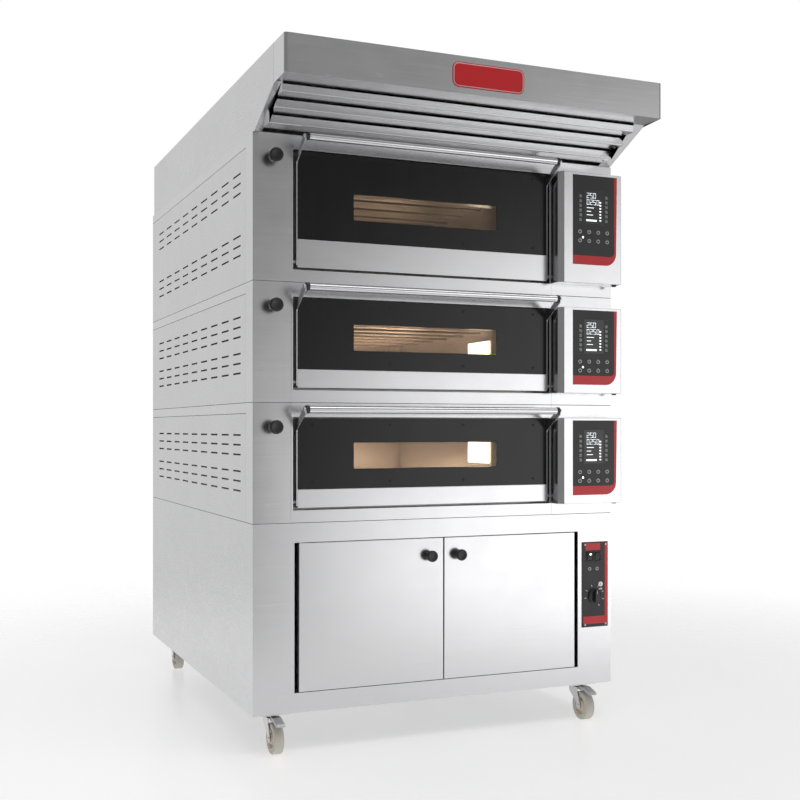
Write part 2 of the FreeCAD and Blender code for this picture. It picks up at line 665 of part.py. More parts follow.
def damper(k):
    knob = turned(k.name + "_damper_knob", [(0, 0), (0, 11), (-20, 11), (-26, 21), (-30, d.damper_radius),
                                            (-42, d.damper_radius), (-46, 19), (-46, 0)],
                  d.damper_place, -4, k.rod, axis="y")
    stem = rod(k.name + "_damper_rod", "y", d.damper_place, -4, k.rod, d.rod_radius, FLUE["y"][0] + 0.5)
    disc = rod(k.name + "_damper_disc", "y", d.damper_place, FLUE["y"][0] - 3.5, k.rod, 30, 3)
    node(k.name + "_damper", knob, cut(k.name + "_damper_stem", stem, cut_copy(disc)), disc)


def cut_copy(item):
    """The same cylinder again, so that it can be taken out of a neighbour."""
    copy = doc.addObject("Part::Cylinder", item.Name + "_copy")
    copy.Placement = item.Placement
    for path, text in item.ExpressionEngine:
        copy.setExpression(path, text)
    return copy


CASING_SHEET = 2
WINDOW_LAP = (20, 15)          # inner glass past the window, across and in height
HANDLE_WALL = 2
BOLT_RADIUS, BOLT_HEAD = 7, 5


def door(k):
    low, high = k.sill + d.door_foot, k.lintel - d.door_head
    window_x = (d.door_centre - d.window_width / 2, d.door_centre + d.window_width / 2)
    window_z = (k.window, k.window + d.window_height)
    casing_y = (d.glass, d.glass + d.door_depth)
    across = (door_left, door_right)
    bore = d.pin_radius + d.running_fit
    pin_z = k.sill + d.pivot_rise
    block = slab(k.name + "_door_block", across, casing_y, (low, high))
    inside = slab(k.name + "_door_inside", (across[0] + CASING_SHEET, across[1] - CASING_SHEET),
                  (casing_y[0] + CASING_SHEET, casing_y[1] - CASING_SHEET),
                  (low + CASING_SHEET, high - CASING_SHEET))
    window = slab(k.name + "_door_window", window_x, (0, casing_y[1] + d.glass), window_z)
    bores = [rod(f"{k.name}_door_bore_{word}", "x", x, d.pivot_depth, pin_z, bore, 12)
             for word, x in (("left", door_left - 1), ("right", door_right - 11))]
    pan = cut(k.name + "_door_pan", block, inside, window, *bores)
    band = slab(k.name + "_door_band", across, (-4, d.glass), (low, low + k.band))
    arms = [side_arm(k, "left", door_left - d.arm), side_arm(k, "right", door_right)]
    node(k.name + "_door_panel", pan, band, *arms)
    node(k.name + "_door_glass",
         slab(k.name + "_outer_glass", across, (0, d.glass), (low + k.band, high)),
         slab(k.name + "_inner_glass", (window_x[0] - WINDOW_LAP[0], window_x[1] + WINDOW_LAP[0]),
              (casing_y[1], casing_y[1] + d.glass),
              (window_z[0] - WINDOW_LAP[1], window_z[1] + WINDOW_LAP[1])))
    x0, x1 = door_left + d.collar_length, door_right - d.collar_length
    y, z = -d.handle_reach, k.lintel + d.handle_rise
    tube = cut(k.name + "_handle_tube", rod(k.name + "_tube_outer", "x", x0, y, z, d.tube_radius, x1 - x0),
               rod(k.name + "_tube_bore", "x", x0 - 1, y, z, d.tube_radius - HANDLE_WALL, x1 - x0 + 2))
    ends = []
    for word, collar, bolt in (("left", door_left, door_left - d.arm - BOLT_HEAD),
                               ("right", x1, door_right + d.arm)):
        ends += [rod(f"{k.name}_{word}_collar", "x", collar, y, z, d.collar_radius, d.collar_length),
                 rod(f"{k.name}_{word}_bolt", "x", bolt, y, z, BOLT_RADIUS, BOLT_HEAD)]
    node(k.name + "_door_handle", tube, *ends)


def side_arm(k, word, x):
    """Flat arm from the hinge pin up the door's side and out to the handle's end."""
    name = f"{k.name}_{word}_arm"
    top = k.opening
    flat = plate(name + "_flat", "YZ_Plane",
                 [(-6, 10), (22, 10), (22, 42), (8, 56), (8, top - 30), (-86, top + 34),
                  (-98, top + 17), (-6, top - 42)], d.arm, x, 0, k.sill)
    eye = rod(name + "_eye", "x", x, -d.handle_reach, k.lintel + d.handle_rise, d.collar_radius, d.arm)
    bore = rod(name + "_bore", "x", x - 1, d.pivot_depth, k.sill + d.pivot_rise,
               d.pin_radius + d.running_fit, d.arm + 2)
    return cut(name, join(name + "_blank", flat, eye), bore)


def hinge_pins():
    pins = []
    for k in DECKS:
        for word, x in (("left", recess_left - JAMB), ("right", door_right - 8)):
            reach = door_left + 8 - (recess_left - JAMB)
            pins.append(rod(f"{k.name}_{word}_pin", "x", x, d.pivot_depth, k.sill + d.pivot_rise,
                            d.pin_radius, reach))
    sill, head = base + d.prover_sill, base + d.prover_sill + d.prover_opening
    for side in (-1, 1):
        for word, z in (("foot", sill - 12), ("head", head - 12)):
            pins.append(rod(f"prover_{word}_pin_{side + 2}", "z", prover_pivot(side), PROVER_PIVOT_BACK, z,
                            PROVER_PIN, 24))
    node("hinge_pins", *pins)


KEYPAD = dict(left=485, width=188, drop=9, foot=(31, 31, 67))   # foot: box underside to the keypad
BOX_SHEET = 2
BOARD = {"across": (500, 660), "front": -52, "thick": 2, "inset": 40}
DISPLAY = {"across": (530, 615), "rise": 150, "drop": 45}


def control_boxes():
    housings, keypads, boards = [], [], []
    width, reach, corner = right - d.box_left, d.box_reach, d.box_chamfer
    for k, foot in zip(DECKS, KEYPAD["foot"]):
        outer = [(0, 0), (0, corner - reach), (corner, -reach), (width, -reach), (width, 0)]
        inner = [(BOX_SHEET, 1), (BOX_SHEET, corner - reach + 1), (corner + 1, BOX_SHEET - reach),
                 (width - BOX_SHEET, BOX_SHEET - reach), (width - BOX_SHEET, 1)]
        block = plate(k.name + "_box_block", "XY_Plane", outer, k.opening, d.box_left, 0, k.sill)
        inside = plate(k.name + "_box_inside", "XY_Plane", inner, k.opening - 2 * BOX_SHEET, d.box_left, 0,
                       k.sill + BOX_SHEET)
        housings.append(cut(k.name + "_control_box", block, inside))
        x, z = (KEYPAD["left"], KEYPAD["left"] + KEYPAD["width"]), (k.sill + foot, k.lintel - KEYPAD["drop"])
        keypads.append(slab(k.name + "_keypad", x, (-reach - 1, -reach), z))
        boards.append(slab(k.name + "_board", BOARD["across"],
                           (BOARD["front"], BOARD["front"] + BOARD["thick"]),
                           (k.sill + BOARD["inset"], k.lintel - BOARD["inset"])))
        boards.append(slab(k.name + "_display", DISPLAY["across"], (BOX_SHEET - reach, BOARD["front"]),
                           (k.sill + DISPLAY["rise"], k.lintel - DISPLAY["drop"])))
    node("control_housings", *housings)
    node("control_keypads", *keypads)
    node("control_boards", *boards)


GLAND = {"x": 560, "rise": 120, "neck": 16, "nut": 23, "cap": 19, "bore": 11}


def rear():
    y = (d.depth - d.skin, d.depth)
    gland_z = base + GLAND["rise"]
    neck, nut, cap, bore = GLAND["neck"], GLAND["nut"], GLAND["cap"], GLAND["bore"]
    hole = rod("gland_hole", "y", GLAND["x"], y[0] - 1, gland_z, neck, 4)
    panels = [cut("prover_back", slab("prover_back_blank", (left, right), y, (base, base_head)), hole)]
    panels += [slab(k.name + "_back_panel", (left, right), y, (k.foot, k.head)) for k in DECKS]
    panels.append(slab("hood_back", (left + d.hood_inset, right - d.hood_inset), y, (roof, crown - d.skin)))
    node("rear_panels", *panels)
    body = turned("gland_body", [(-14, bore), (-14, neck), (0, neck), (0, nut), (10, nut), (10, cap),
                                 (d.rear_reach - 3, cap), (d.rear_reach, neck), (d.rear_reach, bore)],
                  GLAND["x"], d.depth, gland_z, axis="y")
    node("cable_gland", body)


# ---- hood ------------------------------------------------------------------------------------

SLATS = 3
SLAT_GAP = 6
SLAT_PITCH = 71
SLAT_SHEET = 1.5
FLANGES = (25, 50)             # slanted flanges beside the slats, left and right
LIP = {"fold": 7, "thick": 2}  # lower lip, and how far it stops short of the slope
COLLAR_BACK = 1400             # flue collar behind the front plane
COLLAR = {"wall": 1.5, "height": 40}
MOTOR = {"radius": 70, "height": 80, "shaft_radius": 8, "shaft": 60}
FAN = {"rise": 95, "radius": 120, "plate": 3, "blades": 8, "blade": (60, 3, 50), "blade_in": 55}
BADGE = {"across": (-123, 139), "over_lip": (20, 102), "thick": 3}   # blank plate on the fascia


def hood():
    lip = d.hood_height - d.fascia_height
    lip_head = lip + LIP["thick"]
    slope_front = d.hood_lip - d.hood_reach
    fold = slope_front - LIP["fold"]
    x0, x1 = left + d.hood_inset, right - d.hood_inset
    inner = (x0 + d.skin, x1 - d.skin)
    profile = [(-d.hood_reach, lip), (slope_front, lip), (0, 0), (d.depth - d.skin, 0),
               (d.depth - d.skin, d.hood_height - d.skin), (-d.hood_reach, d.hood_height - d.skin)]
    roof_blank = slab("hood_roof_blank", (x0, x1), (-d.hood_reach, d.depth), (crown - d.skin, crown))
    outlet = rod("hood_outlet", "z", 0, COLLAR_BACK, crown - d.skin - 1, d.flue_radius - COLLAR["wall"], 4)
    floor_blank = slab("hood_floor_blank", inner, (0, d.depth - d.skin), (roof, roof + d.skin))
    flue_way = slab("hood_flue_way", (FLUE["x"][0], FLUE["x"][1]), FLUE["y"], (roof - 1, roof + 4))
    pieces = [cut("hood_roof", roof_blank, outlet), cut("hood_floor", floor_blank, flue_way),
              plate("hood_left_side", "YZ_Plane", profile, d.skin, x0, 0, roof),
              plate("hood_right_side", "YZ_Plane", profile, d.skin, x1 - d.skin, 0, roof),
              slab("hood_fascia", inner, (-d.hood_reach, d.skin - d.hood_reach),
                   (roof + lip, crown - d.skin)),
              slab("hood_lip", inner, (d.skin - d.hood_reach, fold), (roof + lip, roof + lip_head))]
    strip = [(fold, lip), (slope_front, lip), (-2, 1), (-2, 3.2), (slope_front, lip_head), (fold, lip_head)]
    for word, x, wide in (("left", inner[0], FLANGES[0] - d.skin),
                          ("right", inner[1] - FLANGES[1] + d.skin, FLANGES[1] - d.skin)):
        pieces.append(plate(f"hood_{word}_flange", "YZ_Plane", strip, wide, x, 0, roof))
    pieces.append(slab("hood_badge", BADGE["across"], (-d.hood_reach - BADGE["thick"], -d.hood_reach),
                       tuple(roof + lip + z for z in BADGE["over_lip"])))
    node("hood_shell", *pieces)

    slat_x = (inner[0] + FLANGES[0] - d.skin, inner[1] - FLANGES[1] + d.skin)
    thick = SLAT_SHEET
    grade = lip / -slope_front
    steps = [fold + SLAT_PITCH * n for n in range(SLATS + 1)]
    edges = [(fold, lip)] + [(y, -y * grade) for y in steps[1:]]
    slats = []
    for n in range(SLATS):
        (y, z), (y_next, z_next) = edges[n], edges[n + 1]
        slats += [slab(f"slat_{n + 1}_face", slat_x, (y, y + thick), (roof + z_next, roof + z - SLAT_GAP)),
                  slab(f"slat_{n + 1}_shelf", slat_x, (y + thick, y_next - 2),
                       (roof + z_next, roof + z_next + thick))]
    cheek = [(fold, lip)]
    for (y, _), (y_next, z_next) in zip(edges, edges[1:]):
        cheek += [(y, z_next), (y_next, z_next)]
    cheek.append((slope_front, lip))
    slats += [plate("slat_cheek_left", "YZ_Plane", cheek, thick, slat_x[0] - thick, 0, roof),
              plate("slat_cheek_right", "YZ_Plane", cheek, thick, slat_x[1], 0, roof)]
    node("hood_slats", *slats)

    collar_blank = rod("collar_outer", "z", 0, COLLAR_BACK, crown, d.flue_radius, COLLAR["height"])
    collar_bore = rod("collar_bore", "z", 0, COLLAR_BACK, crown - 1, d.flue_radius - COLLAR["wall"],
                      COLLAR["height"] + 2)
    node("flue_collar", cut("collar", collar_blank, collar_bore))
    motor = rod("fan_motor_can", "z", 0, COLLAR_BACK, roof + d.skin, MOTOR["radius"], MOTOR["height"])
    shaft = rod("fan_shaft", "z", 0, COLLAR_BACK, roof + d.skin + MOTOR["height"], MOTOR["shaft_radius"],
                MOTOR["shaft"])
    node("hood_fan_motor", motor, shaft)
    fan_wheel()


def fan_wheel():
    """Back plate with straight blades, on the motor's shaft."""
    foot = roof + FAN["rise"]
    bore = rod("hub_bore", "z", 0, COLLAR_BACK, foot - 1, MOTOR["shaft_radius"] + d.running_fit,
               MOTOR["shaft"])
    disc = rod("fan_disc", "z", 0, COLLAR_BACK, foot, FAN["radius"], FAN["plate"])
    wheel = [cut("fan_backplate", disc, bore)]
    length, thick, height = FAN["blade"]
    for n in range(FAN["blades"]):
        blade = doc.addObject("Part::Box", f"fan_blade_{n + 1}")
        turn = FreeCAD.Rotation(FreeCAD.Vector(0, 0, 1), 360 / FAN["blades"] * n)
        blade.Placement = FreeCAD.Placement(FreeCAD.Vector(), turn)
        bind(blade, Length=length, Width=thick, Height=height)
        start = turn.multVec(FreeCAD.Vector(FAN["blade_in"], -thick / 2, 0))
        wheel.append(place(blade, start.x, COLLAR_BACK + start.y, foot + FAN["plate"]))
    node("hood_fan_wheel", *wheel)


# ---- castors ---------------------------------------------------------------------------------

KINGPIN = 6
AXLE = 5
CASTOR_PLATE = {"half_width": 50, "half_length": 42, "thick": 4}
CROWN = {"foot": 113, "head": 117, "half_width": 23, "half_length": 24, "race_radius": 24, "race": 9}
CHEEK = 3
AXLE_NUT = {"radius": 8, "thick": 4}
PEDAL_HALF = 15
PEDAL_PIN = 2.5
PEDAL_PIVOT = (-33, 114)       # pedal pivot: along Y from the swivel, and over the floor


def castor_places():
    return [("front_left", d.castor_left, d.castor_front), ("front_right", d.castor_right, d.castor_front),
            ("rear_left", d.castor_left, d.castor_rear), ("rear_right", d.castor_right, d.castor_rear)]


def castors():
    fixed = []
    for name, x, y in castor_places():
        top = base - CASTOR_PLATE["thick"]
        wide, long = CASTOR_PLATE["half_width"], CASTOR_PLATE["half_length"]
        fixed += [slab(name + "_castor_plate", (x - wide, x + wide), (y - long, y + long), (top, base)),
                  rod(name + "_kingpin", "z", x, y, top - 22, KINGPIN, 22)]
        castor_fork(name, x, y)
        half = d.wheel_width / 2
        bore, rim = AXLE + d.running_fit, d.wheel_radius - 4
        tread = [(-half, bore), (-half, rim), (4 - half, d.wheel_radius), (half - 4, d.wheel_radius),
                 (half, rim), (half, bore)]
        node(f"{name}_wheel", turned(f"{name}_tread", tread, x, y - d.trail, d.wheel_radius, axis="x"))
        if "front" in name:
            castor_pedal(name, x, y)
    node("castor_plates", *fixed)


def castor_fork(name, x, y):
    """Swivel head, crown and two cheeks; the axle runs from cheek to cheek."""
    way = rod(name + "_king_way", "z", x, y, 100, KINGPIN + d.running_fit, 40)
    wide, long, crown_foot = CROWN["half_width"], CROWN["half_length"], CROWN["foot"]
    race = rod(name + "_head_blank", "z", x, y, CROWN["head"], CROWN["race_radius"], CROWN["race"])
    head = cut(name + "_head", race, way)
    crown_way = rod(name + "_crown_way", "z", x, y, 100, KINGPIN + d.running_fit, 40)
    crown_blank = slab(name + "_crown_blank", (x - wide, x + wide), (y - long, y + long),
                       (crown_foot, CROWN["head"]))
    pieces = [head, cut(name + "_crown", crown_blank, crown_way)]
    shape = [(-40, 121), (-25, 121), (-25, crown_foot), (long, crown_foot), (18, 92), (-d.trail + 10, 42),
             (-d.trail - 10, 42), (-d.trail - 12, 60)]
    for word, side in (("left", x - wide), ("right", x + wide - CHEEK)):
        cheek = plate(f"{name}_{word}_cheek_blank", "YZ_Plane", shape, CHEEK, side, y, 0)
        holes = [rod(f"{name}_{word}_axle_hole", "x", side - 1, y - d.trail, d.wheel_radius, AXLE, 5),
                 rod(f"{name}_{word}_pivot_hole", "x", side - 1, y + PEDAL_PIVOT[0], PEDAL_PIVOT[1],
                     PEDAL_PIN, 5)]
        pieces.append(cut(f"{name}_{word}_cheek", cheek, *holes))
    pieces.append(rod(name + "_axle", "x", x - wide, y - d.trail, d.wheel_radius, AXLE, 2 * wide))
    for word, start in (("left", x - wide - AXLE_NUT["thick"]), ("right", x + wide)):
        pieces.append(rod(f"{name}_{word}_nut", "x", start, y - d.trail, d.wheel_radius,
                          AXLE_NUT["radius"], AXLE_NUT["thick"]))
    if "front" in name:
        pieces.append(rod(name + "_pedal_pin", "x", x - wide, y + PEDAL_PIVOT[0], PEDAL_PIVOT[1],
                          PEDAL_PIN, 2 * wide))
    node(f"{name}_fork", *pieces)


def castor_pedal(name, x, y):
    shape = [(-28, 108), (-28, 123), (-58, 124), (-97, 112), (-106, 104), (-98, 101), (-62, 111)]
    blank = plate(name + "_pedal_blank", "YZ_Plane", shape, 2 * PEDAL_HALF, x, y, 0, both=True)
    way = rod(name + "_pedal_way", "x", x - PEDAL_HALF - 1, y + PEDAL_PIVOT[0], PEDAL_PIVOT[1],
              PEDAL_PIN + d.running_fit, 2 * PEDAL_HALF + 2)
    node(f"{name}_pedal", cut(name + "_pedal_arm", blank, way))


# ---- build, check and write ------------------------------------------------------------------

base_frame()
prover_shell()
prover_controls()
for side in (-1, 1):
    prover_door(side)
for k in DECKS:
    deck_frame(k)
    chamber(k)
    damper(k)
    door(k)
shared_internals()
side_panels()
steam_flue()
hinge_pins()
control_boxes()
rear()
hood()
castors()

doc.recompute()
failed = [item.Name for item in doc.Objects if {"Invalid", "Error"} & set(item.State)]
if failed:
    raise RuntimeError("objects that did not build: " + ", ".join(failed))
for item in NODES:
    if item.Shape.isNull() or not item.Shape.isValid():
        raise RuntimeError("bad shape: " + item.Label)

os.makedirs("parts", exist_ok=True)
for item in NODES:
    item.Shape.exportStep(f"parts/{item.Label}.step")
    print(f"{item.Label}: {len(item.Shape.Solids)} solids, {item.Shape.Volume / 1000:.0f} cm3")
print(len(NODES), "nodes")
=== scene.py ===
import math

import bmesh
import bpy
from mathutils import Matrix, Vector

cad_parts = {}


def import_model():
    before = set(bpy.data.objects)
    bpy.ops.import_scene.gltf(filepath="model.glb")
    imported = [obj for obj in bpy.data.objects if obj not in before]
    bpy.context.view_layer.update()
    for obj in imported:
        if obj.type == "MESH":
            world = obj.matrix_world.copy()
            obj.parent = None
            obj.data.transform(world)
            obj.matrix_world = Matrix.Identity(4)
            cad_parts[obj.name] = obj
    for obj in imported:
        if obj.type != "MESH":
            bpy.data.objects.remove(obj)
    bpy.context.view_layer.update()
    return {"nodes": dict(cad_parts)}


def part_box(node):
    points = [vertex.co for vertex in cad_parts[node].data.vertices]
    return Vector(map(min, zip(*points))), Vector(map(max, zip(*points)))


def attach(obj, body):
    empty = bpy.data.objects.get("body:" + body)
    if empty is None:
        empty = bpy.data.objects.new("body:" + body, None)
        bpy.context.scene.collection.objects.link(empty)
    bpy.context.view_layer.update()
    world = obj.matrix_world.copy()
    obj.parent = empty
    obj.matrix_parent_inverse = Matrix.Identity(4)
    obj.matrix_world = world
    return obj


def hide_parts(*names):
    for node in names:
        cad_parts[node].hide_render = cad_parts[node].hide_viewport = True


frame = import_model()
nodes = frame["nodes"]
decks = ["bottom", "middle", "top"]
print("frame loaded:", len(nodes), "CAD nodes")


# ---------- shader maths ----------
class Sock:
    # an output of a node; arithmetic on it adds Math nodes
    def __init__(self, tree, socket):
        self.tree, self.socket = tree, socket

    def out(self, name):
        return Sock(self.tree, self.socket.node.outputs[name])

    def math(self, operation, *others):
        return self.tree.add("ShaderNodeMath", {"operation": operation}, self, *others)

    def __add__(self, other):
        return self.math("ADD", other)

    def __sub__(self, other):
        return self.math("SUBTRACT", other)

    def __rsub__(self, other):
        return self.tree.add("ShaderNodeMath", {"operation": "SUBTRACT"}, other, self)

    def __mul__(self, other):
        return self.math("MULTIPLY", other)

    __radd__, __rmul__ = __add__, __mul__

    def clamp(self):
        return self.tree.add("ShaderNodeClamp", {}, self)


class Tree:
    # a material or world node tree; add() makes every node in it
    def __init__(self, owner, output="ShaderNodeOutputMaterial"):
        owner.use_nodes = True
        self.tree = owner.node_tree
        self.tree.nodes.clear()
        self.output = self.tree.nodes.new(output)

    def add(self, kind, settings=None, *values, **named):
        node = self.tree.nodes.new(kind)
        for key, value in (settings or {}).items():
            if key == "stops":
                while len(node.color_ramp.elements) < len(value):
                    node.color_ramp.elements.new(0.5)
                for element, (place, colour) in zip(node.color_ramp.elements, value):
                    element.position, element.color = place, (*colour, 1)
            else:
                setattr(node, key, value)
        for index, value in enumerate(values):
            self.feed(node.inputs[index], value)
        for key, value in named.items():
            self.feed(node.inputs[key.replace("_", " ")], value)
        return Sock(self, node.outputs[0])

    def feed(self, socket, value):
        if isinstance(value, Sock):
            self.tree.links.new(value.socket, socket)
        elif socket.type == "RGBA":
            socket.default_value = (*value[:3], 1)
        else:
            socket.default_value = value

    def mix(self, factor, first, second):
        node = self.tree.nodes.new("ShaderNodeMix")
        node.data_type = "RGBA"
        for index, value in ((0, factor), (6, first), (7, second)):
            self.feed(node.inputs[index], value)
        return Sock(self, node.outputs[2])

    def noise(self, stretch, detail=2.0, rough=0.5):
        # noise on Object coordinates; stretch is the number of lumps in a metre along X, Y and Z
        place = self.add("ShaderNodeTexCoord").out("Object")
        mapped = self.add("ShaderNodeMapping", {}, Vector=place, Scale=stretch)
        return self.add("ShaderNodeTexNoise", {}, Vector=mapped, Scale=1.0, Detail=detail, Roughness=rough)

    def bump(self, height, strength, distance):
        return self.add("ShaderNodeBump", {}, Strength=strength, Distance=distance, Height=height)

    def surface(self, shader):
        self.tree.links.new(shader.socket, self.output.inputs["Surface"])


def newMaterial(name):
    return Tree(bpy.data.materials.new(name))


def finishWith(tree, name, **sockets):
    tree.surface(tree.add("ShaderNodeBsdfPrincipled", {}, **sockets))
    return bpy.data.materials[name]


# ---------- finishes ----------
steelLooks = {
    # grain runs along the axis whose stretch is small
    "steelFront": dict(dark=(0.60, 0.60, 0.61), light=(0.71, 0.71, 0.72), rough=0.24, grain=(5, 900, 900)),
    "steelSide": dict(dark=(0.60, 0.60, 0.61), light=(0.71, 0.71, 0.72), rough=0.28, grain=(900, 5, 900)),
    "steelRear": dict(dark=(0.52, 0.52, 0.53), light=(0.62, 0.62, 0.63), rough=0.40, grain=(5, 900, 900)),
    "steelInner": dict(dark=(0.42, 0.40, 0.38), light=(0.56, 0.54, 0.52), rough=0.38, grain=(700, 6, 700)),
    "steelFrame": dict(dark=(0.44, 0.44, 0.45), light=(0.55, 0.55, 0.56), rough=0.45, grain=(60, 60, 60)),
    "zincPlate": dict(dark=(0.56, 0.57, 0.56), light=(0.74, 0.74, 0.72), rough=0.30, grain=(90, 90, 90)),
    "tubeSteel": dict(dark=(0.66, 0.66, 0.67), light=(0.80, 0.80, 0.81), rough=0.20, grain=(8, 600, 600)),
    "castAlloy": dict(dark=(0.46, 0.46, 0.47), light=(0.60, 0.60, 0.61), rough=0.50, grain=(300, 300, 300)),
    "elementSheath": dict(dark=(0.16, 0.14, 0.13), light=(0.30, 0.27, 0.25), rough=0.50, grain=(25, 300, 300)),
}


def steel(name, look):
    t = newMaterial(name)
    grain = t.noise(look["grain"], 3.0)
    cloud = t.noise((2.2, 2.2, 3.0), 3.0)
    smear = t.noise((9, 9, 14), 4.0, 0.6)
    tone = (grain * 0.55 + cloud * 0.45).clamp()
    return finishWith(
        t, name, Base_Color=t.mix(tone, look["dark"], look["light"]), Metallic=1.0,
        Roughness=grain * 0.10 + smear * 0.08 + (look["rough"] - 0.09), Normal=t.bump(grain, 0.03, 0.0003))


plasticLooks = {
    "blackPlastic": dict(base=(0.012, 0.012, 0.013), worn=(0.030, 0.030, 0.031), rough=0.36, lumps=420),
    "keypadFilm": dict(base=(0.020, 0.020, 0.021), worn=(0.027, 0.027, 0.028), rough=0.42, lumps=1600),
    "displayGlass": dict(base=(0.002, 0.002, 0.003), worn=(0.004, 0.004, 0.005), rough=0.10, lumps=60),
    "controlRed": dict(base=(0.56, 0.004, 0.010), worn=(0.62, 0.008, 0.015), rough=0.30, lumps=900),
    "printWhite": dict(base=(0.62, 0.62, 0.61), worn=(0.72, 0.72, 0.71), rough=0.50, lumps=900),
    "printGrey": dict(base=(0.26, 0.26, 0.26), worn=(0.33, 0.33, 0.33), rough=0.50, lumps=900),
    "whiteLens": dict(base=(0.80, 0.80, 0.78), worn=(0.88, 0.88, 0.86), rough=0.16, lumps=120),
    "castorTread": dict(base=(0.56, 0.53, 0.47), worn=(0.68, 0.65, 0.58), rough=0.62, lumps=160),
    "castorHub": dict(base=(0.74, 0.65, 0.54), worn=(0.82, 0.74, 0.63), rough=0.50, lumps=90),
    "jointSealant": dict(base=(0.07, 0.07, 0.07), worn=(0.11, 0.11, 0.11), rough=0.62, lumps=300),
    "circuitBoard": dict(base=(0.015, 0.10, 0.045), worn=(0.03, 0.16, 0.075), rough=0.40, lumps=240),
    "sealRope": dict(base=(0.56, 0.53, 0.47), worn=(0.74, 0.72, 0.66), rough=0.90, lumps=700),
}


def plastic(name, look):
    t = newMaterial(name)
    fine = t.noise((look["lumps"],) * 3, 2.0)
    wear = t.noise((11, 11, 11), 4.0, 0.6)
    return finishWith(
        t, name, Base_Color=t.mix((fine * 0.4 + wear * 0.6).clamp(), look["base"], look["worn"]),
        Roughness=wear * 0.12 + (look["rough"] - 0.06), Normal=t.bump(fine, 0.12, 0.0003))


def enamelGlass(name):
    # glass printed black behind, so the face is glossy and deep
    t = newMaterial(name)
    wipe = t.noise((14, 14, 5), 4.0, 0.6)
    dust = t.noise((260, 260, 260), 1.0)
    return finishWith(
        t, name, Base_Color=t.mix(wipe * 0.5 + dust * 0.2, (0.0085, 0.0085, 0.0088), (0.0150, 0.0150, 0.0152)),
        Roughness=wipe * 0.16 + 0.10, IOR=1.5, Specular_IOR_Level=0.33, Normal=t.bump(wipe, 0.02, 0.0004))


def windowGlass(name, alpha, tint):
    t = newMaterial(name)
    bake = t.noise((7, 7, 26), 3.0, 0.6)
    return finishWith(
        t, name, Base_Color=t.mix(bake, tint, tuple(c * 0.7 for c in tint)), Roughness=bake * 0.06 + 0.04,
        Alpha=bake * 0.10 + (alpha - 0.05), IOR=1.5)


def refractory(name):
    t = newMaterial(name)
    grit = t.noise((210, 210, 210), 3.0, 0.7)
    toast = t.noise((5, 5, 5), 5.0, 0.6)
    tone = t.mix(toast, (0.56, 0.44, 0.31), (0.78, 0.68, 0.53))
    return finishWith(t, name, Base_Color=t.mix(grit * 0.5, tone, (0.36, 0.27, 0.19)),
                      Roughness=grit * 0.15 + 0.78, Normal=t.bump(grit, 0.35, 0.0008))


def mineralWool(name):
    t = newMaterial(name)
    fibre = t.noise((40, 260, 90), 5.0, 0.7)
    clump = t.noise((18, 18, 18), 3.0)
    return finishWith(t, name, Base_Color=t.mix(clump, (0.055, 0.050, 0.042), (0.110, 0.098, 0.078)),
                      Roughness=fibre * 0.1 + 0.85, Normal=t.bump(fibre, 0.8, 0.003))


def glowing(name, colour, strength):
    t = newMaterial(name)
    frost = t.noise((90, 90, 90), 2.0)
    return finishWith(t, name, Base_Color=t.mix(frost, colour, tuple(c * 0.85 for c in colour)),
                      Roughness=frost * 0.2 + 0.3, Emission_Color=colour, Emission_Strength=strength)


finish = {name: steel(name, look) for name, look in steelLooks.items()}
finish |= {name: plastic(name, look) for name, look in plasticLooks.items()}
finish |= {
    "enamelGlass": enamelGlass("enamelGlass"),
    "windowGlass": windowGlass("windowGlass", 0.20, (0.16, 0.11, 0.085)),
    "innerGlass": windowGlass("innerGlass", 0.10, (0.24, 0.20, 0.17)),
    "refractory": refractory("refractory"),
    "mineralWool": mineralWool("mineralWool"),
    "lampGlow": glowing("lampGlow", (1.0, 0.86, 0.58), 6.0),
    "displayGlow": glowing("displayGlow", (0.80, 0.84, 0.86), 1.3),
    "ledGlow": glowing("ledGlow", (1.0, 1.0, 0.98), 4.0),
}
print("finishes made:", len(finish))

# every CAD node that stays in view or lies inside takes one of the finishes
nodeFinish = {
    "steelInner": ["steam_flue"],
    "steelFrame": ["hinge_pins"],
    "zincPlate": ["castor_plates"],
    "elementSheath": ["heating_elements", "prover_heater"],
    "mineralWool": ["insulation"],
    "sealRope": ["door_seals"],
    "lampGlow": ["chamber_lamps"],
    "circuitBoard": ["control_boards"],
    "blackPlastic": ["prover_switchgear"],
    "castAlloy": ["hood_fan_motor", "hood_fan_wheel"],
}
for name, members in nodeFinish.items():
    for member in members:
        nodes[member].data.materials.clear()
        nodes[member].data.materials.append(finish[name])


# ---------- mesh helpers ----------
def settle(obj):
    # evaluated result becomes the object's plain mesh
    graph = bpy.context.evaluated_depsgraph_get()
    graph.update()
    mesh = bpy.data.meshes.new_from_object(obj.evaluated_get(graph))
    obj.modifiers.clear()
    obj.data = mesh
    return obj


def piece(name, bm, material, body, bevel=0.0, steps=2, smooth=35, weld=True):
    mesh = bpy.data.meshes.new(name)
    if weld:
        bmesh.ops.remove_doubles(bm, verts=bm.verts, dist=1e-6)
    bmesh.ops.recalc_face_normals(bm, faces=bm.faces)
    bm.to_mesh(mesh)
    bm.free()
    obj = bpy.data.objects.new(name, mesh)
    bpy.context.scene.collection.objects.link(obj)
    mesh.shade_smooth()
    if bevel:
        edge = obj.modifiers.new("edges", "BEVEL")
        edge.width, edge.segments, edge.limit_method = bevel, steps, "ANGLE"
        edge.angle_limit = math.radians(28)
        obj.modifiers.new("flats", "WEIGHTED_NORMAL").weight = 100
        settle(obj)
    else:
        mesh.set_sharp_from_angle(angle=math.radians(smooth))
    obj.data.materials.clear()
    obj.data.materials.append(finish[material])
    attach(obj, body)
    return obj


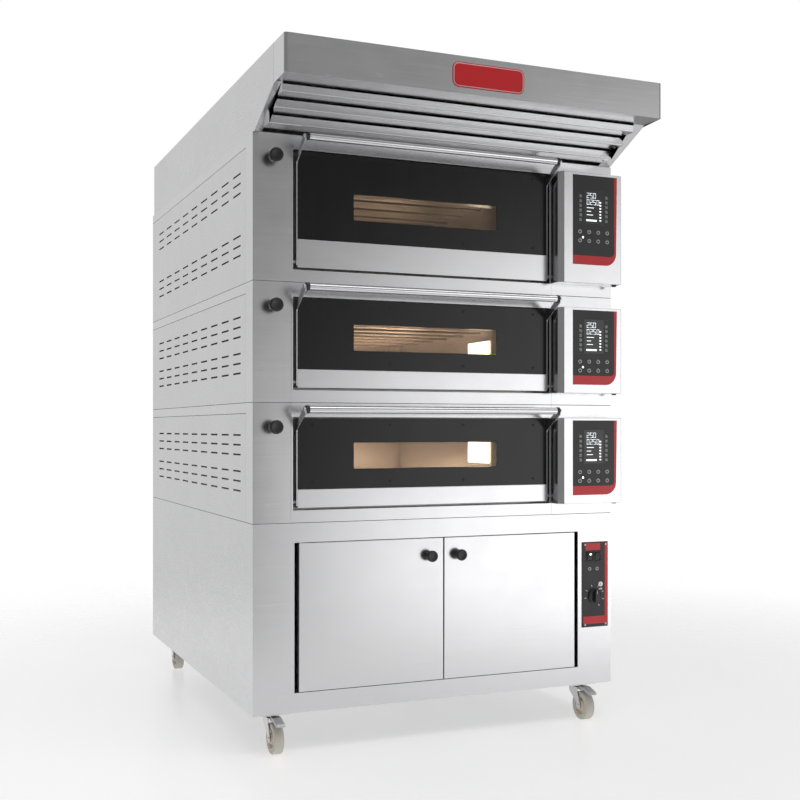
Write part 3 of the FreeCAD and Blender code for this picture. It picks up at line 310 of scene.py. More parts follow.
def solidsApart(bm):
    # welds each solid's faces and leaves neighbouring solids unjoined
    bmesh.ops.remove_doubles(bm, verts=bm.verts, dist=1e-6)
    waiting, solids = set(bm.faces), []
    while waiting:
        found, front = set(), [waiting.pop()]
        while front:
            face = front.pop()
            found.add(face)
            for edge in face.edges:
                if len(edge.link_faces) == 2:
                    front += [other for other in edge.link_faces if other in waiting]
                    waiting.difference_update(edge.link_faces)
        solids.append(list(found))
    for faces in solids[1:]:
        bmesh.ops.split(bm, geom=faces)


def openSeams(bm, seams, gap):
    # draws the sheets above and below each level seam apart by the gap
    for vertex in bm.verts:
        for seam in seams:
            if abs(vertex.co.z - seam) < 1e-5:
                middle = sum(face.calc_center_median().z for face in vertex.link_faces) / len(vertex.link_faces)
                vertex.co.z += math.copysign(gap / 2, middle - seam)
                break


def soften(node, material, bevel=0.0007, body="oven", seams=()):
    # the CAD sheets again with their folds and edges eased, so seams show as fine grooves
    bm = bmesh.new()
    bm.from_mesh(nodes[node].data)
    solidsApart(bm)
    bmesh.ops.dissolve_limit(bm, angle_limit=math.radians(1), verts=bm.verts, edges=bm.edges)
    openSeams(bm, seams, sealantLook["wide"])
    words = node.split("_")
    eased = piece(words[0] + "".join(w.title() for w in words[1:]), bm, material, body, bevel, weld=False)
    low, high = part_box(node)
    for vertex in eased.data.vertices:
        vertex.co = [min(max(c, a), b) for c, a, b in zip(vertex.co, low, high)]
    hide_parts(node)
    return eased


def rounded(points, steps=6):
    # outline from (u, v) or (u, v, radius) corners
    result = []
    count = len(points)
    for k, corner in enumerate(points):
        here = Vector(corner[:2])
        if len(corner) < 3 or corner[2] == 0:
            result.append(here)
            continue
        before = (Vector(points[k - 1][:2]) - here).normalized()
        after = (Vector(points[(k + 1) % count][:2]) - here).normalized()
        half = before.angle(after) / 2
        reach = corner[2] / math.tan(half)
        centre = here + (before + after).normalized() * (corner[2] / math.sin(half))
        start, end = here + before * reach - centre, here + after * reach - centre
        turn = start.angle_signed(end)
        for n in range(steps + 1):
            result.append(centre + Matrix.Rotation(-turn * n / steps, 2) @ start)
    return result


def lift(u, v, w, plane):
    # (u, v) in a plane and w along its normal, as X, Y, Z
    return {"XZ": Vector((u, w, v)), "YZ": Vector((w, u, v)), "XY": Vector((u, v, w))}[plane]


def slabOf(bm, points, plane, near, far, holes=()):
    # closed plate between near and far with the outline and any four-cornered holes
    loops = [points] + [list(hole) for hole in holes]
    rims = []
    for loop in loops:
        rims.append([[bm.verts.new(lift(p[0], p[1], w, plane)) for p in loop] for w in (near, far)])
    for rim in rims:
        count = len(rim[0])
        for k in range(count):
            after = (k + 1) % count
            bm.faces.new((rim[0][k], rim[0][after], rim[1][after], rim[1][k]))
    for side in (0, 1):
        if not holes:
            bm.faces.new(rims[0][side])
            continue
        edges = []
        for rim in rims:
            ring = rim[side]
            for k in range(len(ring)):
                edge = bm.edges.get((ring[k], ring[(k + 1) % len(ring)]))
                edges.append(edge)
        bmesh.ops.triangle_fill(bm, edges=edges, use_beauty=True, use_dissolve=True)
    return bm


def platePiece(name, points, plane, near, far, material, body, bevel=0.001, holes=(), steps=2):
    bm = slabOf(bmesh.new(), points, plane, near, far, holes)
    return piece(name, bm, material, body, bevel, steps)


def boxPoints(low, high, radius=0.0):
    return rounded([(low[0], low[1], radius), (high[0], low[1], radius), (high[0], high[1], radius),
                    (low[0], high[1], radius)])


def turn(bm, profile, centre, axis, steps=48):
    # closed solid from (along, radius) pairs about a line through centre
    toAxis = {"X": Matrix.Rotation(math.pi / 2, 4, "Y"), "Y": Matrix.Rotation(-math.pi / 2, 4, "X"),
              "Z": Matrix.Identity(4)}[axis]
    place = Matrix.Translation(centre) @ toAxis
    rings = []
    for along, radius in profile:
        if radius < 1e-7:
            rings.append([bm.verts.new(place @ Vector((0, 0, along)))] * steps)
            continue
        angles = [2 * math.pi * k / steps for k in range(steps)]
        rings.append([bm.verts.new(place @ Vector((radius * math.cos(a), radius * math.sin(a), along)))
                      for a in angles])
    pairs = list(zip(rings, rings[1:]))
    if profile[0][1] > 1e-7 and profile[-1][1] > 1e-7:
        pairs.append((rings[-1], rings[0]))
    for lower, upper in pairs:
        for k in range(steps):
            after = (k + 1) % steps
            corners = [lower[k], lower[after], upper[after], upper[k]]
            corners = [v for i, v in enumerate(corners) if v not in corners[:i]]
            if len(corners) > 2:
                bm.faces.new(corners)
    return bm


def lathe(name, profile, centre, axis, material, body, steps=48, smooth=35):
    return piece(name, turn(bmesh.new(), profile, centre, axis, steps), material, body, smooth=smooth)


def domed(radius, length, edge, steps=5):
    # profile of a disc whose far rim is rounded
    curve = [(length - edge + edge * math.sin(a), radius - edge + edge * math.cos(a))
             for a in (math.pi / 2 * k / steps for k in range(steps + 1))]
    return [(0, 0), (0, radius)] + curve + [(length, 0)]


# ---------- geometry nodes ----------
def groupWith(name, inputs):
    group = bpy.data.node_groups.new(name, "GeometryNodeTree")
    group.interface.new_socket("Geometry", in_out="INPUT", socket_type="NodeSocketGeometry")
    for label, kind in inputs.items():
        group.interface.new_socket(label, in_out="INPUT", socket_type=kind)
    group.interface.new_socket("Geometry", in_out="OUTPUT", socket_type="NodeSocketGeometry")
    return group


def joinSockets(group, chain):
    for source, target in chain:
        group.links.new(source, target)


def repeatGroup():
    # rows and columns of one unit object
    group = groupWith("repeatUnit", {
        "Unit": "NodeSocketObject", "Columns": "NodeSocketInt", "Rows": "NodeSocketInt", "Start": "NodeSocketVector",
        "Column Step": "NodeSocketVector", "Row Step": "NodeSocketVector", "Finish": "NodeSocketMaterial"})
    new = group.nodes.new
    given, made = new("NodeGroupInput"), new("NodeGroupOutput")
    columns, rows = new("GeometryNodeMeshLine"), new("GeometryNodeMeshLine")
    spread, solidify = new("GeometryNodeInstanceOnPoints"), new("GeometryNodeRealizeInstances")
    info, put = new("GeometryNodeObjectInfo"), new("GeometryNodeInstanceOnPoints")
    real, paint = new("GeometryNodeRealizeInstances"), new("GeometryNodeSetMaterial")
    joinSockets(group, [
        (given.outputs["Columns"], columns.inputs["Count"]), (given.outputs["Column Step"], columns.inputs["Offset"]),
        (given.outputs["Start"], columns.inputs["Start Location"]), (given.outputs["Rows"], rows.inputs["Count"]),
        (given.outputs["Row Step"], rows.inputs["Offset"]), (columns.outputs[0], spread.inputs["Points"]),
        (rows.outputs[0], spread.inputs["Instance"]), (spread.outputs[0], solidify.inputs[0]),
        (solidify.outputs[0], put.inputs["Points"]), (given.outputs["Unit"], info.inputs["Object"]),
        (info.outputs["Geometry"], put.inputs["Instance"]), (put.outputs[0], real.inputs[0]),
        (real.outputs[0], paint.inputs["Geometry"]), (given.outputs["Finish"], paint.inputs["Material"]),
        (paint.outputs[0], made.inputs[0])])
    return group


def scatterGroup():
    # one unit object on every vertex of the piece
    group = groupWith("unitOnPoints", {"Unit": "NodeSocketObject", "Size": "NodeSocketFloat",
                                       "Finish": "NodeSocketMaterial"})
    new = group.nodes.new
    given, made = new("NodeGroupInput"), new("NodeGroupOutput")
    info, put = new("GeometryNodeObjectInfo"), new("GeometryNodeInstanceOnPoints")
    real, paint = new("GeometryNodeRealizeInstances"), new("GeometryNodeSetMaterial")
    joinSockets(group, [
        (given.outputs["Geometry"], put.inputs["Points"]), (given.outputs["Unit"], info.inputs["Object"]),
        (given.outputs["Size"], put.inputs["Scale"]), (info.outputs["Geometry"], put.inputs["Instance"]),
        (put.outputs[0], real.inputs[0]), (real.outputs[0], paint.inputs["Geometry"]),
        (given.outputs["Finish"], paint.inputs["Material"]), (paint.outputs[0], made.inputs[0])])
    return group


repeatUnit, unitOnPoints = repeatGroup(), scatterGroup()


def nodesPiece(name, group, values, body, points=(), smooth=35):
    mesh = bpy.data.meshes.new(name)
    mesh.from_pydata([tuple(p) for p in points], [], [])
    obj = bpy.data.objects.new(name, mesh)
    bpy.context.scene.collection.objects.link(obj)
    modifier = obj.modifiers.new(name, "NODES")
    modifier.node_group = group
    sockets = {item.name: item.identifier for item in group.interface.items_tree if item.in_out == "INPUT"}
    for label, value in values.items():
        modifier[sockets[label]] = value
    settle(obj)
    obj.data.shade_smooth()
    obj.data.set_sharp_from_angle(angle=math.radians(smooth))
    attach(obj, body)
    return obj


def unit(name, bm):
    mesh = bpy.data.meshes.new(name)
    bmesh.ops.remove_doubles(bm, verts=bm.verts, dist=1e-6)
    bmesh.ops.recalc_face_normals(bm, faces=bm.faces)
    bm.to_mesh(mesh)
    bm.free()
    obj = bpy.data.objects.new(name, mesh)
    bpy.context.scene.collection.objects.link(obj)
    return obj


def dropUnits(*units):
    for obj in units:
        bpy.data.objects.remove(obj)


def scatter(name, unitObject, points, material, body, size=1.0):
    return nodesPiece(name, unitOnPoints, {"Unit": unitObject, "Size": size, "Finish": finish[material]},
                      body, points)


screwProfile = [(-0.0008, 0), (-0.0008, 0.0015), (0.0012, 0.0018), (0.0013, 0.0032), (0.0008, 0.0042),
                (-0.001, 0.0044), (-0.001, 0)]


def screwUnit(name, axis, sign=1):
    # pan head of 9 mm with a socket, standing out along -axis when sign is 1
    profile = [(-sign * along, radius) for along, radius in screwProfile]
    return unit(name, turn(bmesh.new(), profile, (0, 0, 0), axis, 12))


frontScrew = screwUnit("frontScrew", "Y")
rearScrew = screwUnit("rearScrew", "Y", -1)
downScrew = screwUnit("downScrew", "Z")
print("helpers ready")


# ---------- casing sheets ----------
casing = {"side_panels": "steelSide", "prover_front_frame": "steelFront", "rear_panels": "steelRear",
          "base_frame": "steelFrame", "prover_liner": "steelInner", "tray_runners": "steelInner"}
casing |= {deck + "_deck_frame": "steelFront" for deck in decks}
casing |= {deck + "_chamber": "steelInner" for deck in decks}
casing["baking_stones"] = "refractory"
easing = {"side_panels": 0.0006, "baking_stones": 0.0020}
# sealant between stacked modules, round the front and both sides
sealantLook = dict(wide=0.0016, deep=0.0008, below=0.0004, corner=0.0012, topBand=0.036, cornerReturn=0.086)
moduleSeams = [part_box(deck + "_deck_frame")[0].z for deck in decks]
bandSeams = [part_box(deck + "_deck_frame")[1].z - sealantLook["topBand"] for deck in decks]
for name, material in casing.items():
    outside = name.endswith("_deck_frame") or name in ("side_panels", "prover_front_frame")
    soften(name, material, easing.get(name, 0.0006),
           seams=moduleSeams + bandSeams if outside else ())


def moduleSealant():
    low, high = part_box("side_panels")
    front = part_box("prover_front_frame")[0].y
    below, deep, half = sealantLook["below"], sealantLook["deep"], sealantLook["wide"] / 2
    x0, x1, y0, y1 = low.x + below, high.x - below, front + below, high.y - 0.002
    corner = sealantLook["corner"]
    outline = rounded([(x0, y1), (x0, y0, corner), (x1, y0, corner), (x1, y1), (x1 - deep, y1),
                       (x1 - deep, y0 + deep, corner - deep), (x0 + deep, y0 + deep, corner - deep), (x0 + deep, y1)])
    bm = bmesh.new()
    for seam in moduleSeams:
        slabOf(bm, outline, "XY", seam - half, seam + half)
    behind = front + sealantLook["cornerReturn"]
    for seam in bandSeams:
        for x in (x0, x1 - deep):
            slabOf(bm, boxPoints((x, behind), (x + deep, y1)), "XY", seam - half, seam + half)
    piece("moduleSealant", bm, "jointSealant", "oven")


moduleSealant()
print("casing sheets eased")


# ---------- doors of the baking decks ----------
doorLook = dict(casing=0.040, glass=0.004, windowWidth=0.549, windowHeight=0.088, windowRise=(0.067, 0.067, 0.076),
                edge=0.0006, band=0.008, arm=0.004, screwColumns=4, screwInset=0.055, screwDrop=0.022)


def doorWindow(deck):
    low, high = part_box(deck + "_door_glass")
    middle = (low.x + high.x) / 2
    rise = doorLook["windowRise"][decks.index(deck)]
    half = doorLook["windowWidth"] / 2
    return (middle - half, low.z + rise), (middle + half, low.z + rise + doorLook["windowHeight"])


def deckDoor(deck):
    body = deck + "_door"
    glassLow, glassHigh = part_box(deck + "_door_glass")
    panelLow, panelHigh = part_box(deck + "_door_panel")
    winLow, winHigh = doorWindow(deck)
    face = glassLow.y
    opening = boxPoints(winLow, winHigh, 0.003)
    outer = boxPoints((glassLow.x, glassLow.z), (glassHigh.x, glassHigh.z), 0.002)
    border = platePiece(deck + "DoorBorder", outer, "XZ", face, face + doorLook["glass"], "enamelGlass", body,
                        doorLook["edge"], [opening])
    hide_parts(deck + "_door_glass")
    gap = 0.0004
    pane = boxPoints((winLow[0] + gap, winLow[1] + gap), (winHigh[0] - gap, winHigh[1] - gap), 0.003)
    platePiece(deck + "DoorWindow", pane, "XZ", face + 0.0002, face + doorLook["glass"], "windowGlass", body,
               0.0004)
    casingLow, casingHigh = face + doorLook["glass"], face + doorLook["glass"] + doorLook["casing"]
    back = boxPoints((winLow[0] - 0.02, winLow[1] - 0.015), (winHigh[0] + 0.02, winHigh[1] + 0.015), 0.004)
    platePiece(deck + "DoorInnerGlass", back, "XZ", casingHigh, casingHigh + doorLook["glass"], "innerGlass", body,
               0.0005)
    doorFoot = panelLow.z
    for name in ("bottom_chamber", "middle_chamber", "top_chamber"):
        if name.startswith(deck):
            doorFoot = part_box(deck + "_deck_frame")[0].z + 0.050
    casing = platePiece(deck + "DoorCasing", boxPoints((glassLow.x, doorFoot), (glassHigh.x, glassHigh.z), 0.003),
                        "XZ", casingLow, casingHigh, "steelInner", body, 0.0015, [opening])
    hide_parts(deck + "_door_panel")
    frameDepth = casingHigh + doorLook["glass"] + 0.0015
    retainer = boxPoints((winLow[0] - 0.030, winLow[1] - 0.025), (winHigh[0] + 0.030, winHigh[1] + 0.025), 0.006)
    visible = boxPoints((winLow[0] - 0.016, winLow[1] - 0.011), (winHigh[0] + 0.016, winHigh[1] + 0.011), 0.004)
    platePiece(deck + "DoorRetainer", retainer, "XZ", casingHigh, frameDepth, "steelInner", body, 0.0006,
               [visible])
    inside = [(x, frameDepth, z) for x in (winLow[0] - 0.023, (winLow[0] + winHigh[0]) / 2, winHigh[0] + 0.023)
              for z in (winLow[1] - 0.018, winHigh[1] + 0.018)]
    scatter(deck + "RetainerScrews", rearScrew, inside, "zincPlate", body, 0.8)
    # foot band, proud of the glass
    band = slabOf(bmesh.new(), [(face - 0.004, doorFoot), (face + 0.0035, doorFoot), (face + 0.0035, glassLow.z - 0.0006),
                                (face - 0.004, glassLow.z - 0.0006)], "YZ", glassLow.x, glassHigh.x)
    piece(deck + "DoorBand", band, "steelFront", body, 0.0013, 3)
    deckHandle(deck, body, doorFoot)
    span = glassHigh.x - glassLow.x - 2 * doorLook["screwInset"]
    count = doorLook["screwColumns"]
    rows = (glassHigh.z - doorLook["screwDrop"], glassLow.z + doorLook["screwDrop"])
    points = [(glassLow.x + doorLook["screwInset"] + span * n / (count - 1), face, z) for n in range(count)
              for z in rows]
    scatter(deck + "DoorScrews", frontScrew, points, "enamelGlass", body, 1.1)


handleLook = dict(tube=0.012, collar=0.0135, collarLength=0.011, boltHead=0.0075, armWidth=0.0185, footWidth=0.026)


def deckHandle(deck, body, doorFoot):
    low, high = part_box(deck + "_door_handle")
    glassLow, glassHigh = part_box(deck + "_door_glass")
    centre = (low + high) / 2
    length, arm = handleLook["collarLength"], doorLook["arm"]
    inner = (glassLow.x + length, glassHigh.x - length)
    radius = handleLook["tube"]
    tube = lathe(deck + "HandleTube", [(0, 0), (0, radius - 0.0012), (0.0012, radius), (inner[1] - inner[0] - 0.0012, radius),
                                       (inner[1] - inner[0], radius - 0.0012), (inner[1] - inner[0], 0)],
                 (inner[0], centre.y, centre.z), "X", "tubeSteel", body, 40)
    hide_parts(deck + "_door_handle")
    pivot = Vector((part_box(deck + "_deck_frame")[0].y + 0.012, doorFoot + 0.019))
    for word, side, edge in (("Left", -1, glassLow.x), ("Right", 1, glassHigh.x)):
        ring = handleLook["collar"]
        profile = [(0, 0), (0, ring - 0.0008), (0.0008, ring), (length - 0.0008, ring), (length, ring - 0.0008), (length, 0)]
        start = edge if side < 0 else edge - length
        lathe(deck + "Collar" + word, profile, (start, centre.y, centre.z), "X", "blackPlastic", body,
              32)
        near, far = (edge - arm, edge) if side < 0 else (edge, edge + arm)
        top = centre.z - 0.064
        outline = rounded([
            (pivot.x - 0.016, pivot.y - 0.013, 0.004), (pivot.x + 0.010, pivot.y - 0.013, 0.008),
            (pivot.x + 0.010, pivot.y + 0.018, 0.006), (pivot.x - 0.004, pivot.y + 0.030, 0.010),
            (pivot.x - 0.004, top + 0.012, 0.02), (centre.y + 0.010, centre.z + 0.009, 0.008),
            (centre.y - 0.010, centre.z + 0.007, 0.009), (centre.y - 0.008, centre.z - 0.012, 0.006),
            (pivot.x - 0.016, top - 0.006, 0.012)])
        platePiece(deck + "Arm" + word, outline, "YZ", near + 0.0001, far, "steelFront", body, 0.0006)
        head = handleLook["boltHead"]
        bolt = turn(bmesh.new(), [(0, 0), (0, head), (0.0034, head), (0.0048, head * 0.7), (0.0048, head * 0.45),
                                  (0.0022, head * 0.4), (0.0022, 0)],
                    (near if side < 0 else far, centre.y, centre.z), "X", 24)
        if side < 0:
            bmesh.ops.scale(bolt, vec=(-1, 1, 1), verts=bolt.verts,
                            space=Matrix.Translation((-near, 0, 0)))
        piece(deck + "Bolt" + word, bolt, "zincPlate", body)


for deck in decks:
    deckDoor(deck)
print("deck doors made")


# ---------- damper knobs and their rods ----------
knobLook = dict(neck=0.011, rim=0.023, reach=0.046)


def roundKnob(name, centre, look, body):
    # the knob stands out along -Y from centre, with a waisted neck and a shallow dished face
    neck, rim, reach = look["neck"], look["rim"], look["reach"]
    edge = [(reach - 0.005 + 0.005 * math.sin(a), rim - 0.005 + 0.005 * math.cos(a))
            for a in (math.pi / 2 * k / 6 for k in range(7))]
    profile = [(0, 0), (0, neck + 0.002), (0.002, neck), (reach * 0.40, neck), (reach * 0.52, neck + 0.004),
               (reach * 0.60, rim - 0.002), (reach * 0.66, rim)] + edge
    profile += [(reach - 0.0012, rim * 0.62), (reach - 0.0016, 0)]
    mirrored = [(-along, radius) for along, radius in profile]
    return lathe(name, mirrored, centre, "Y", "blackPlastic", body, 56, 40)


def deckDamper(deck):
    low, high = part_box(deck + "_damper")
    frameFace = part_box(deck + "_deck_frame")[0].y
    centre = Vector(((low.x + high.x) / 2, frameFace - 0.004, (low.z + high.z) / 2))
    knob = roundKnob(deck + "DamperKnob", centre, dict(knobLook, reach=centre.y - low.y), deck + "_damper")
    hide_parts(deck + "_damper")
    length = high.y - centre.y
    lathe(deck + "DamperRod", [(0.0002, 0), (0.0002, 0.005), (length - 0.003, 0.005), (length - 0.003, 0.030),
                               (length, 0.030), (length, 0)],
          centre, "Y", "zincPlate", deck + "_damper", 32)
    escutcheon = [(-0.0014, 0.0062), (-0.0014, 0.0125), (-0.0004, 0.0140), (0, 0.0140), (0, 0.0062)]
    lathe(deck + "DamperRing", escutcheon, (centre.x, frameFace, centre.z), "Y", "zincPlate", "oven", 32)


for deck in decks:
    deckDamper(deck)


# ---------- control boxes ----------
boxLook = dict(chamfer=0.017, edge=0.0016, label=dict(left=0.0535, width=0.188, drop=0.009, foot=(0.031, 0.031, 0.067),
               corner=0.045, redFoot=0.033, redTop=0.013, redLow=0.008, film=0.0008),
               display=dict(left=0.046, width=0.084, drop=(0.034, 0.034, 0.053), height=0.124),
               footPad=0.0045)
segments = {"0": "abcdef", "1": "bc", "2": "abged", "5": "afgcd", "8": "abcdefg"}


def digitBars(bm, text, x, z, width, height, gap, face, thick):
    # seven-segment digits as thin bars in the XZ plane
    bar = width * 0.17
    for n, letter in enumerate(text):
        left = x + n * (width + gap)
        right, mid, top = left + width, z + height / 2, z + height
        places = {"a": (left, top - bar, right, top), "b": (right - bar, mid, right, top),
                  "c": (right - bar, z, right, mid), "d": (left, z, right, z + bar), "e": (left, z, left + bar, mid),
                  "f": (left, mid, left + bar, top), "g": (left, mid - bar / 2, right, mid + bar / 2)}
        for letterPart in segments[letter]:
            x0, z0, x1, z1 = places[letterPart]
            slabOf(bm, [(x0 + thick, z0 + thick), (x1 - thick, z0 + thick), (x1 - thick, z1 - thick),
                        (x0 + thick, z1 - thick)], "XZ", face - 0.0003, face)


def touchIcon(name, size):
    # open ring with a bar through its gap: a plain power-style mark
    bm = bmesh.new()
    inner, outer = size * 0.30, size * 0.42
    arc = [math.radians(60 + 300 * k / 16) + math.pi / 2 - math.radians(30) for k in range(17)]
    points = [(outer * math.cos(a), outer * math.sin(a)) for a in arc]
    points += [(inner * math.cos(a), inner * math.sin(a)) for a in reversed(arc)]
    rims = [[bm.verts.new(lift(u, v, w, "XZ")) for u, v in points] for w in (-0.0003, 0.0)]
    half = len(arc)
    for rim in rims:
        for k in range(half - 1):
            bm.faces.new((rim[k], rim[k + 1], rim[-k - 2], rim[-k - 1]))
    for k in range(len(points)):
        after = (k + 1) % len(points)
        bm.faces.new((rims[0][k], rims[0][after], rims[1][after], rims[1][k]))
    slabOf(bm, boxPoints((-size * 0.055, size * 0.06), (size * 0.055, size * 0.46)), "XZ", -0.0003, 0.0)
    return unit(name, bm)


def waveIcon(name, size):
    # three upright wavy strokes over a bar: a plain heat mark
    bm = bmesh.new()
    for n in (-1, 0, 1):
        centre = n * size * 0.30
        steps = 8
        for k in range(steps):
            z0, z1 = (size * (-0.28 + 0.72 * j / steps) for j in (k, k + 1))
            x0, x1 = (centre + size * 0.07 * math.sin(2 * math.pi * j / steps) for j in (k, k + 1))
            wide = size * 0.055
            slabOf(bm, [(x0 - wide, z0), (x0 + wide, z0), (x1 + wide, z1), (x1 - wide, z1)], "XZ", -0.0003, 0.0)
    slabOf(bm, boxPoints((-size * 0.45, -size * 0.46), (size * 0.45, -size * 0.38)), "XZ", -0.0003, 0.0)
    return unit(name, bm)


keyIcon, heatIcon = touchIcon("keyIcon", 0.017), waveIcon("heatIcon", 0.011)


def controlBox(deck, index):
    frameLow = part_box(deck + "_deck_frame")[0]
    wholeLow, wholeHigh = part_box("control_housings")
    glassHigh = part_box(deck + "_door_glass")[1]
    foot, head = frameLow.z + 0.042, glassHigh.z + 0.004
    front, back = wholeLow.y, wholeHigh.y
    cut = boxLook["chamfer"]
    outline = rounded([(wholeLow.x, back), (wholeLow.x, front + cut, 0.003), (wholeLow.x + cut, front, 0.003),
                       (wholeHigh.x, front, 0.003), (wholeHigh.x, back)], 4)
    shell = platePiece(deck + "ControlBox", outline, "XY", foot, head, "steelFront", "oven",
                       boxLook["edge"], steps=3)
    if index == 0:
        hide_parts("control_housings", "control_keypads")
    look = boxLook["label"]
    left = wholeLow.x + look["left"]
    right = left + look["width"]
    low, high = foot + look["foot"][index], head - look["drop"]
    film = look["film"]
    redOutline = rounded([(left, low), (right - 0.004, low, look["corner"]), (right, high), (left, high)], 12)
    platePiece(deck + "LabelRed", redOutline, "XZ", front - film, front, "controlRed", "oven", 0.0002)
    blackRight = right - look["redTop"]
    blackOutline = rounded([(left + 0.0003, low + look["redFoot"]),
                            (right - 0.004 - look["redLow"], low + look["redFoot"], 0.016),
                            (blackRight, high - 0.0003), (left + 0.0003, high - 0.0003)], 8)
    face = front - film - 0.0004
    platePiece(deck + "LabelBlack", blackOutline, "XZ", face, front - film, "keypadFilm", "oven", 0.0002)
    screen = boxLook["display"]
    sLeft, sRight = left + screen["left"], left + screen["left"] + screen["width"]
    sHigh = high - screen["drop"][index]
    sLow = sHigh - screen["height"]
    platePiece(deck + "Display", boxPoints((sLeft, sLow), (sRight, sHigh), 0.002), "XZ", face - 0.0004, face,
               "displayGlass", "oven", 0.0002)
    glass = face - 0.0004
    bars = bmesh.new()
    digitBars(bars, "250", sLeft + 0.012, sHigh - 0.030, 0.0105, 0.019, 0.0035, glass, 0.0003)
    digitBars(bars, "0250", sLeft + 0.012, sHigh - 0.054, 0.0105, 0.019, 0.0035, glass, 0.0003)
    for k, width in enumerate((0.030, 0.018, 0.026)):
        z = sHigh - 0.066 - 0.013 * k
        slabOf(bars, boxPoints((sLeft + 0.012, z), (sLeft + 0.012 + width, z + 0.0022)), "XZ", glass - 0.0003, glass)
    slabOf(bars, boxPoints((sLeft + 0.010, sLow + 0.010), (sLeft + 0.054, sLow + 0.016)), "XZ", glass - 0.0003, glass)
    for k in range(7):
        z = sLow + 0.012 + 0.011 * k
        slabOf(bars, boxPoints((sRight - 0.018, z), (sRight - 0.011, z + 0.005)), "XZ", glass - 0.0003, glass)
    piece(deck + "Readout", bars, "displayGlow", "oven", smooth=20)
    columns = {"Start": (left + 0.032, face, sLow + 0.014), "Column Step": (screen["width"] + 0.026, 0, 0),
               "Row Step": (0, 0, 0.0172), "Columns": 2, "Rows": 6}
    nodesPiece(deck + "HeatMarks", repeatUnit, {"Unit": heatIcon, "Finish": finish["printWhite"], **columns},
               "oven")
    keys = {"Start": (left + 0.030, face, sLow - 0.062), "Column Step": (0.0385, 0, 0), "Row Step": (0, 0, 0.0325),
            "Columns": 4, "Rows": 2}
    nodesPiece(deck + "TouchKeys", repeatUnit, {"Unit": keyIcon, "Finish": finish["printWhite"], **keys}, "oven")
    lathe(deck + "KeyLed", [(0.0006, 0), (0.0006, 0.0036), (-0.0006, 0.0030), (-0.0009, 0)],
          (left + 0.042, face, sLow - 0.050), "Y", "ledGlow", "oven", 20)
    lathe(deck + "BoxFoot", [(-boxLook["footPad"], 0), (-boxLook["footPad"], 0.007), (-0.001, 0.009), (0.001, 0.009),
                             (0.001, 0)],
          (wholeHigh.x - 0.0125, front + 0.03, foot), "Z", "blackPlastic", "oven", 24)


for index, deck in enumerate(decks):
    controlBox(deck, index)
dropUnits(keyIcon, heatIcon)
print("control boxes made")


# ---------- prover doors ----------
proverLook = dict(gasket=(0.012, 0.020), knob=dict(neck=0.009, rim=0.020))


def proverDoor(word):
    name = "prover_door_" + word
    low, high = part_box(name)
    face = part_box("prover_front_frame")[0].y - 0.002
    reach = face - low.y
    # outer skin with its returns, inner pan and the gasket on the pan's back
    layers = (("Skin", "steelFront", "stainless", 0.0, face, high.y - 0.0045, 0.0022),
              ("Pan", "steelInner", "stainless", 0.004, high.y - 0.0045, high.y - 0.0015, 0.0010))
    for layer, material, slot, inset, near, far, edge in layers:
        outline = boxPoints((low.x + inset, low.z + inset), (high.x - inset, high.z - inset), 0.002)
        door = platePiece("proverDoor" + word.title() + layer, outline, "XZ", near, far, material, name, edge,
                          steps=3)
        if layer == "Skin":
            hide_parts(name)
    gasket = [boxPoints((low.x + inset, low.z + inset), (high.x - inset, high.z - inset), 0.006)
              for inset in proverLook["gasket"]]
    platePiece("proverGasket" + word.title(), gasket[0], "XZ", high.y - 0.0015, high.y, "blackPlastic", name,
               0.0004, [gasket[1]])
    side = -1 if word == "left" else 1
    x = high.x - 0.055 if side < 0 else low.x + 0.055
    roundKnob("proverKnob" + word.title(), Vector((x, face, 0.637)), dict(proverLook["knob"], reach=reach), name)


for word in ("left", "right"):
    proverDoor(word)


# ---------- prover control plate ----------
plateLook = dict(film=0.0005, red=dict(right=0.0025, width=0.0115, foot=0.012, band=0.028), brand=(0.0135, 0.0775, 0.027),
                 bezel=dict(width=0.030, height=0.038, depth=0.003, rim=0.0028), ring=(0.0042, 0.0062),
                 dial=dict(radius=0.0395, marks=7, start=-150, sweep=250), screwIn=(0.012, 0.0095))


